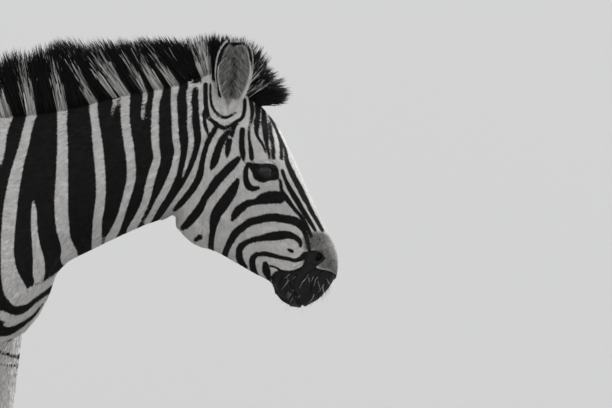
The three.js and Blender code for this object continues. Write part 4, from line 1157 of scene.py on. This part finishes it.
for name, sign in (("right", -1), ("left", 1)):
    ball = bmesh.new()
    bmesh.ops.create_uvsphere(ball, u_segments=48, v_segments=32, radius=EYE_RADIUS)
    flip = np.array([1, sign, 1])
    look, slit, up_way = LOOK * flip, SLIT * flip, UP * flip
    iris = []
    for v in ball.verts:
        d = np.array(v.co) / EYE_RADIUS
        ahead = d @ look
        swell = 1.6 * smooth_step(ahead, 0.72, 1.0)
        pupil = np.hypot((d @ slit) / 0.42, (d @ up_way) / 0.16)
        iris.append(float(smooth_step(ahead, 0.74, 0.8)) * float(smooth_step(pupil, 0.9, 1.1)))
        v.co = Vector((EYE * flip + d * (EYE_RADIUS + swell)) * MM)
    for f in ball.faces:
        f.smooth = True
    made = bpy.data.meshes.new("eyeball_" + name)
    ball.to_mesh(made)
    ball.free()
    attribute(made, "iris", iris)
    piece = new_piece("eyeball_" + name, made, eye_gloss)
    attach(piece, "root")
    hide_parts("eye_" + name)

# Hooves: dark horn with level growth rings and fine upright grain, made even and rounded from the plain
# blocks.

horn, tree = material("hoof_horn")
place = node(tree, "ShaderNodeTexCoord").outputs["Object"]
bands = node(tree, "ShaderNodeMapping", Vector=place)
bands.inputs["Scale"].default_value = (0.1, 0.1, 1.0)
rings = node(tree, "ShaderNodeTexNoise", Vector=bands.outputs[0], Scale=260.0, Detail=3.0)
upright = node(tree, "ShaderNodeMapping", Vector=place)
upright.inputs["Scale"].default_value = (1.0, 1.0, 0.06)
grain = node(tree, "ShaderNodeTexNoise", Vector=upright.outputs[0], Scale=480.0, Detail=2.0)
both = node(tree, "ShaderNodeMath", {"operation": "ADD"}, i0=rings.outputs["Fac"], i1=grain.outputs["Fac"])
half_sum = node(tree, "ShaderNodeMath", {"operation": "MULTIPLY"}, i0=both.outputs[0], i1=0.5)
shades = node(tree, "ShaderNodeMix", {"data_type": "RGBA"}, i0=half_sum.outputs[0])
shades.inputs[6].default_value, shades.inputs[7].default_value = colour("#14110F"), colour("#4A433C")
relief = node(tree, "ShaderNodeBump", Height=half_sum.outputs[0], Strength=0.5, Distance=0.001)
finish = node(tree, "ShaderNodeBsdfPrincipled", Base_Color=shades.outputs[2], Normal=relief.outputs[0],
              Roughness=0.5)
node(tree, "ShaderNodeOutputMaterial", Surface=finish.outputs[0])

for name in ("forehoof_right", "forehoof_left", "hindhoof_right", "hindhoof_left"):
    block = bmesh.new()
    block.from_mesh(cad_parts[name].data)
    bmesh.ops.remove_doubles(block, verts=block.verts, dist=1e-6)
    made = bpy.data.meshes.new(name + "_wall")
    block.to_mesh(made)
    block.free()
    piece = new_piece(name + "_wall", made)
    even = piece.modifiers.new("even", "REMESH")
    even.mode, even.voxel_size, even.use_smooth_shade = "VOXEL", 2.5 * MM, True
    made = evaluated(piece)
    even = piece.modifiers.new("smooth", "SMOOTH")
    even.factor, even.iterations = 0.5, 8
    made = evaluated(piece)
    at = corners(made) / MM
    normal = normals(made)
    side_on = 1 - np.abs(normal[:, 2])
    at += normal * (0.5 * side_on * np.sin(at[:, 2] / 1.6))[:, None]
    low = at[:, 2].min()
    at[:, 2] = np.where(at[:, 2] < 8, at[:, 2] - low * (1 - at[:, 2] / 8), at[:, 2])
    set_corners(made, at * MM)
    made.materials.clear()
    made.materials.append(horn)
    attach(piece, "root")
    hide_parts(name)

# Stage: a plain pale floor, a high sun ahead of the animal and beyond it, and soft light from the whole sky.

ground = bmesh.new()
bmesh.ops.create_grid(ground, x_segments=1, y_segments=1, size=60)
made = bpy.data.meshes.new("floor")
ground.to_mesh(made)
ground.free()
plain, tree = material("pale_floor")
finish = node(tree, "ShaderNodeBsdfPrincipled", Roughness=0.95)
finish.inputs["Base Color"].default_value = colour("#9A9A99")
node(tree, "ShaderNodeOutputMaterial", Surface=finish.outputs[0])
floor = new_piece("floor", made, plain)

sun = bpy.data.objects.new("sun", bpy.data.lights.new("sun", "SUN"))
scene.collection.objects.link(sun)
sun.data.energy = 3.4
sun.data.angle = math.radians(7)
sun.rotation_euler = Vector((0.66, 0.40, 0.72)).to_track_quat("Z", "Y").to_euler()

sky = bpy.data.worlds.new("sky")
scene.world = sky
sky.use_nodes = True
sky.node_tree.nodes.clear()
light = node(sky.node_tree, "ShaderNodeBackground", Strength=1.2)
light.inputs["Color"].default_value = colour("#F4F5F7")
node(sky.node_tree, "ShaderNodeOutputWorld", Surface=light.outputs[0])

scene.view_settings.view_transform = "Standard"
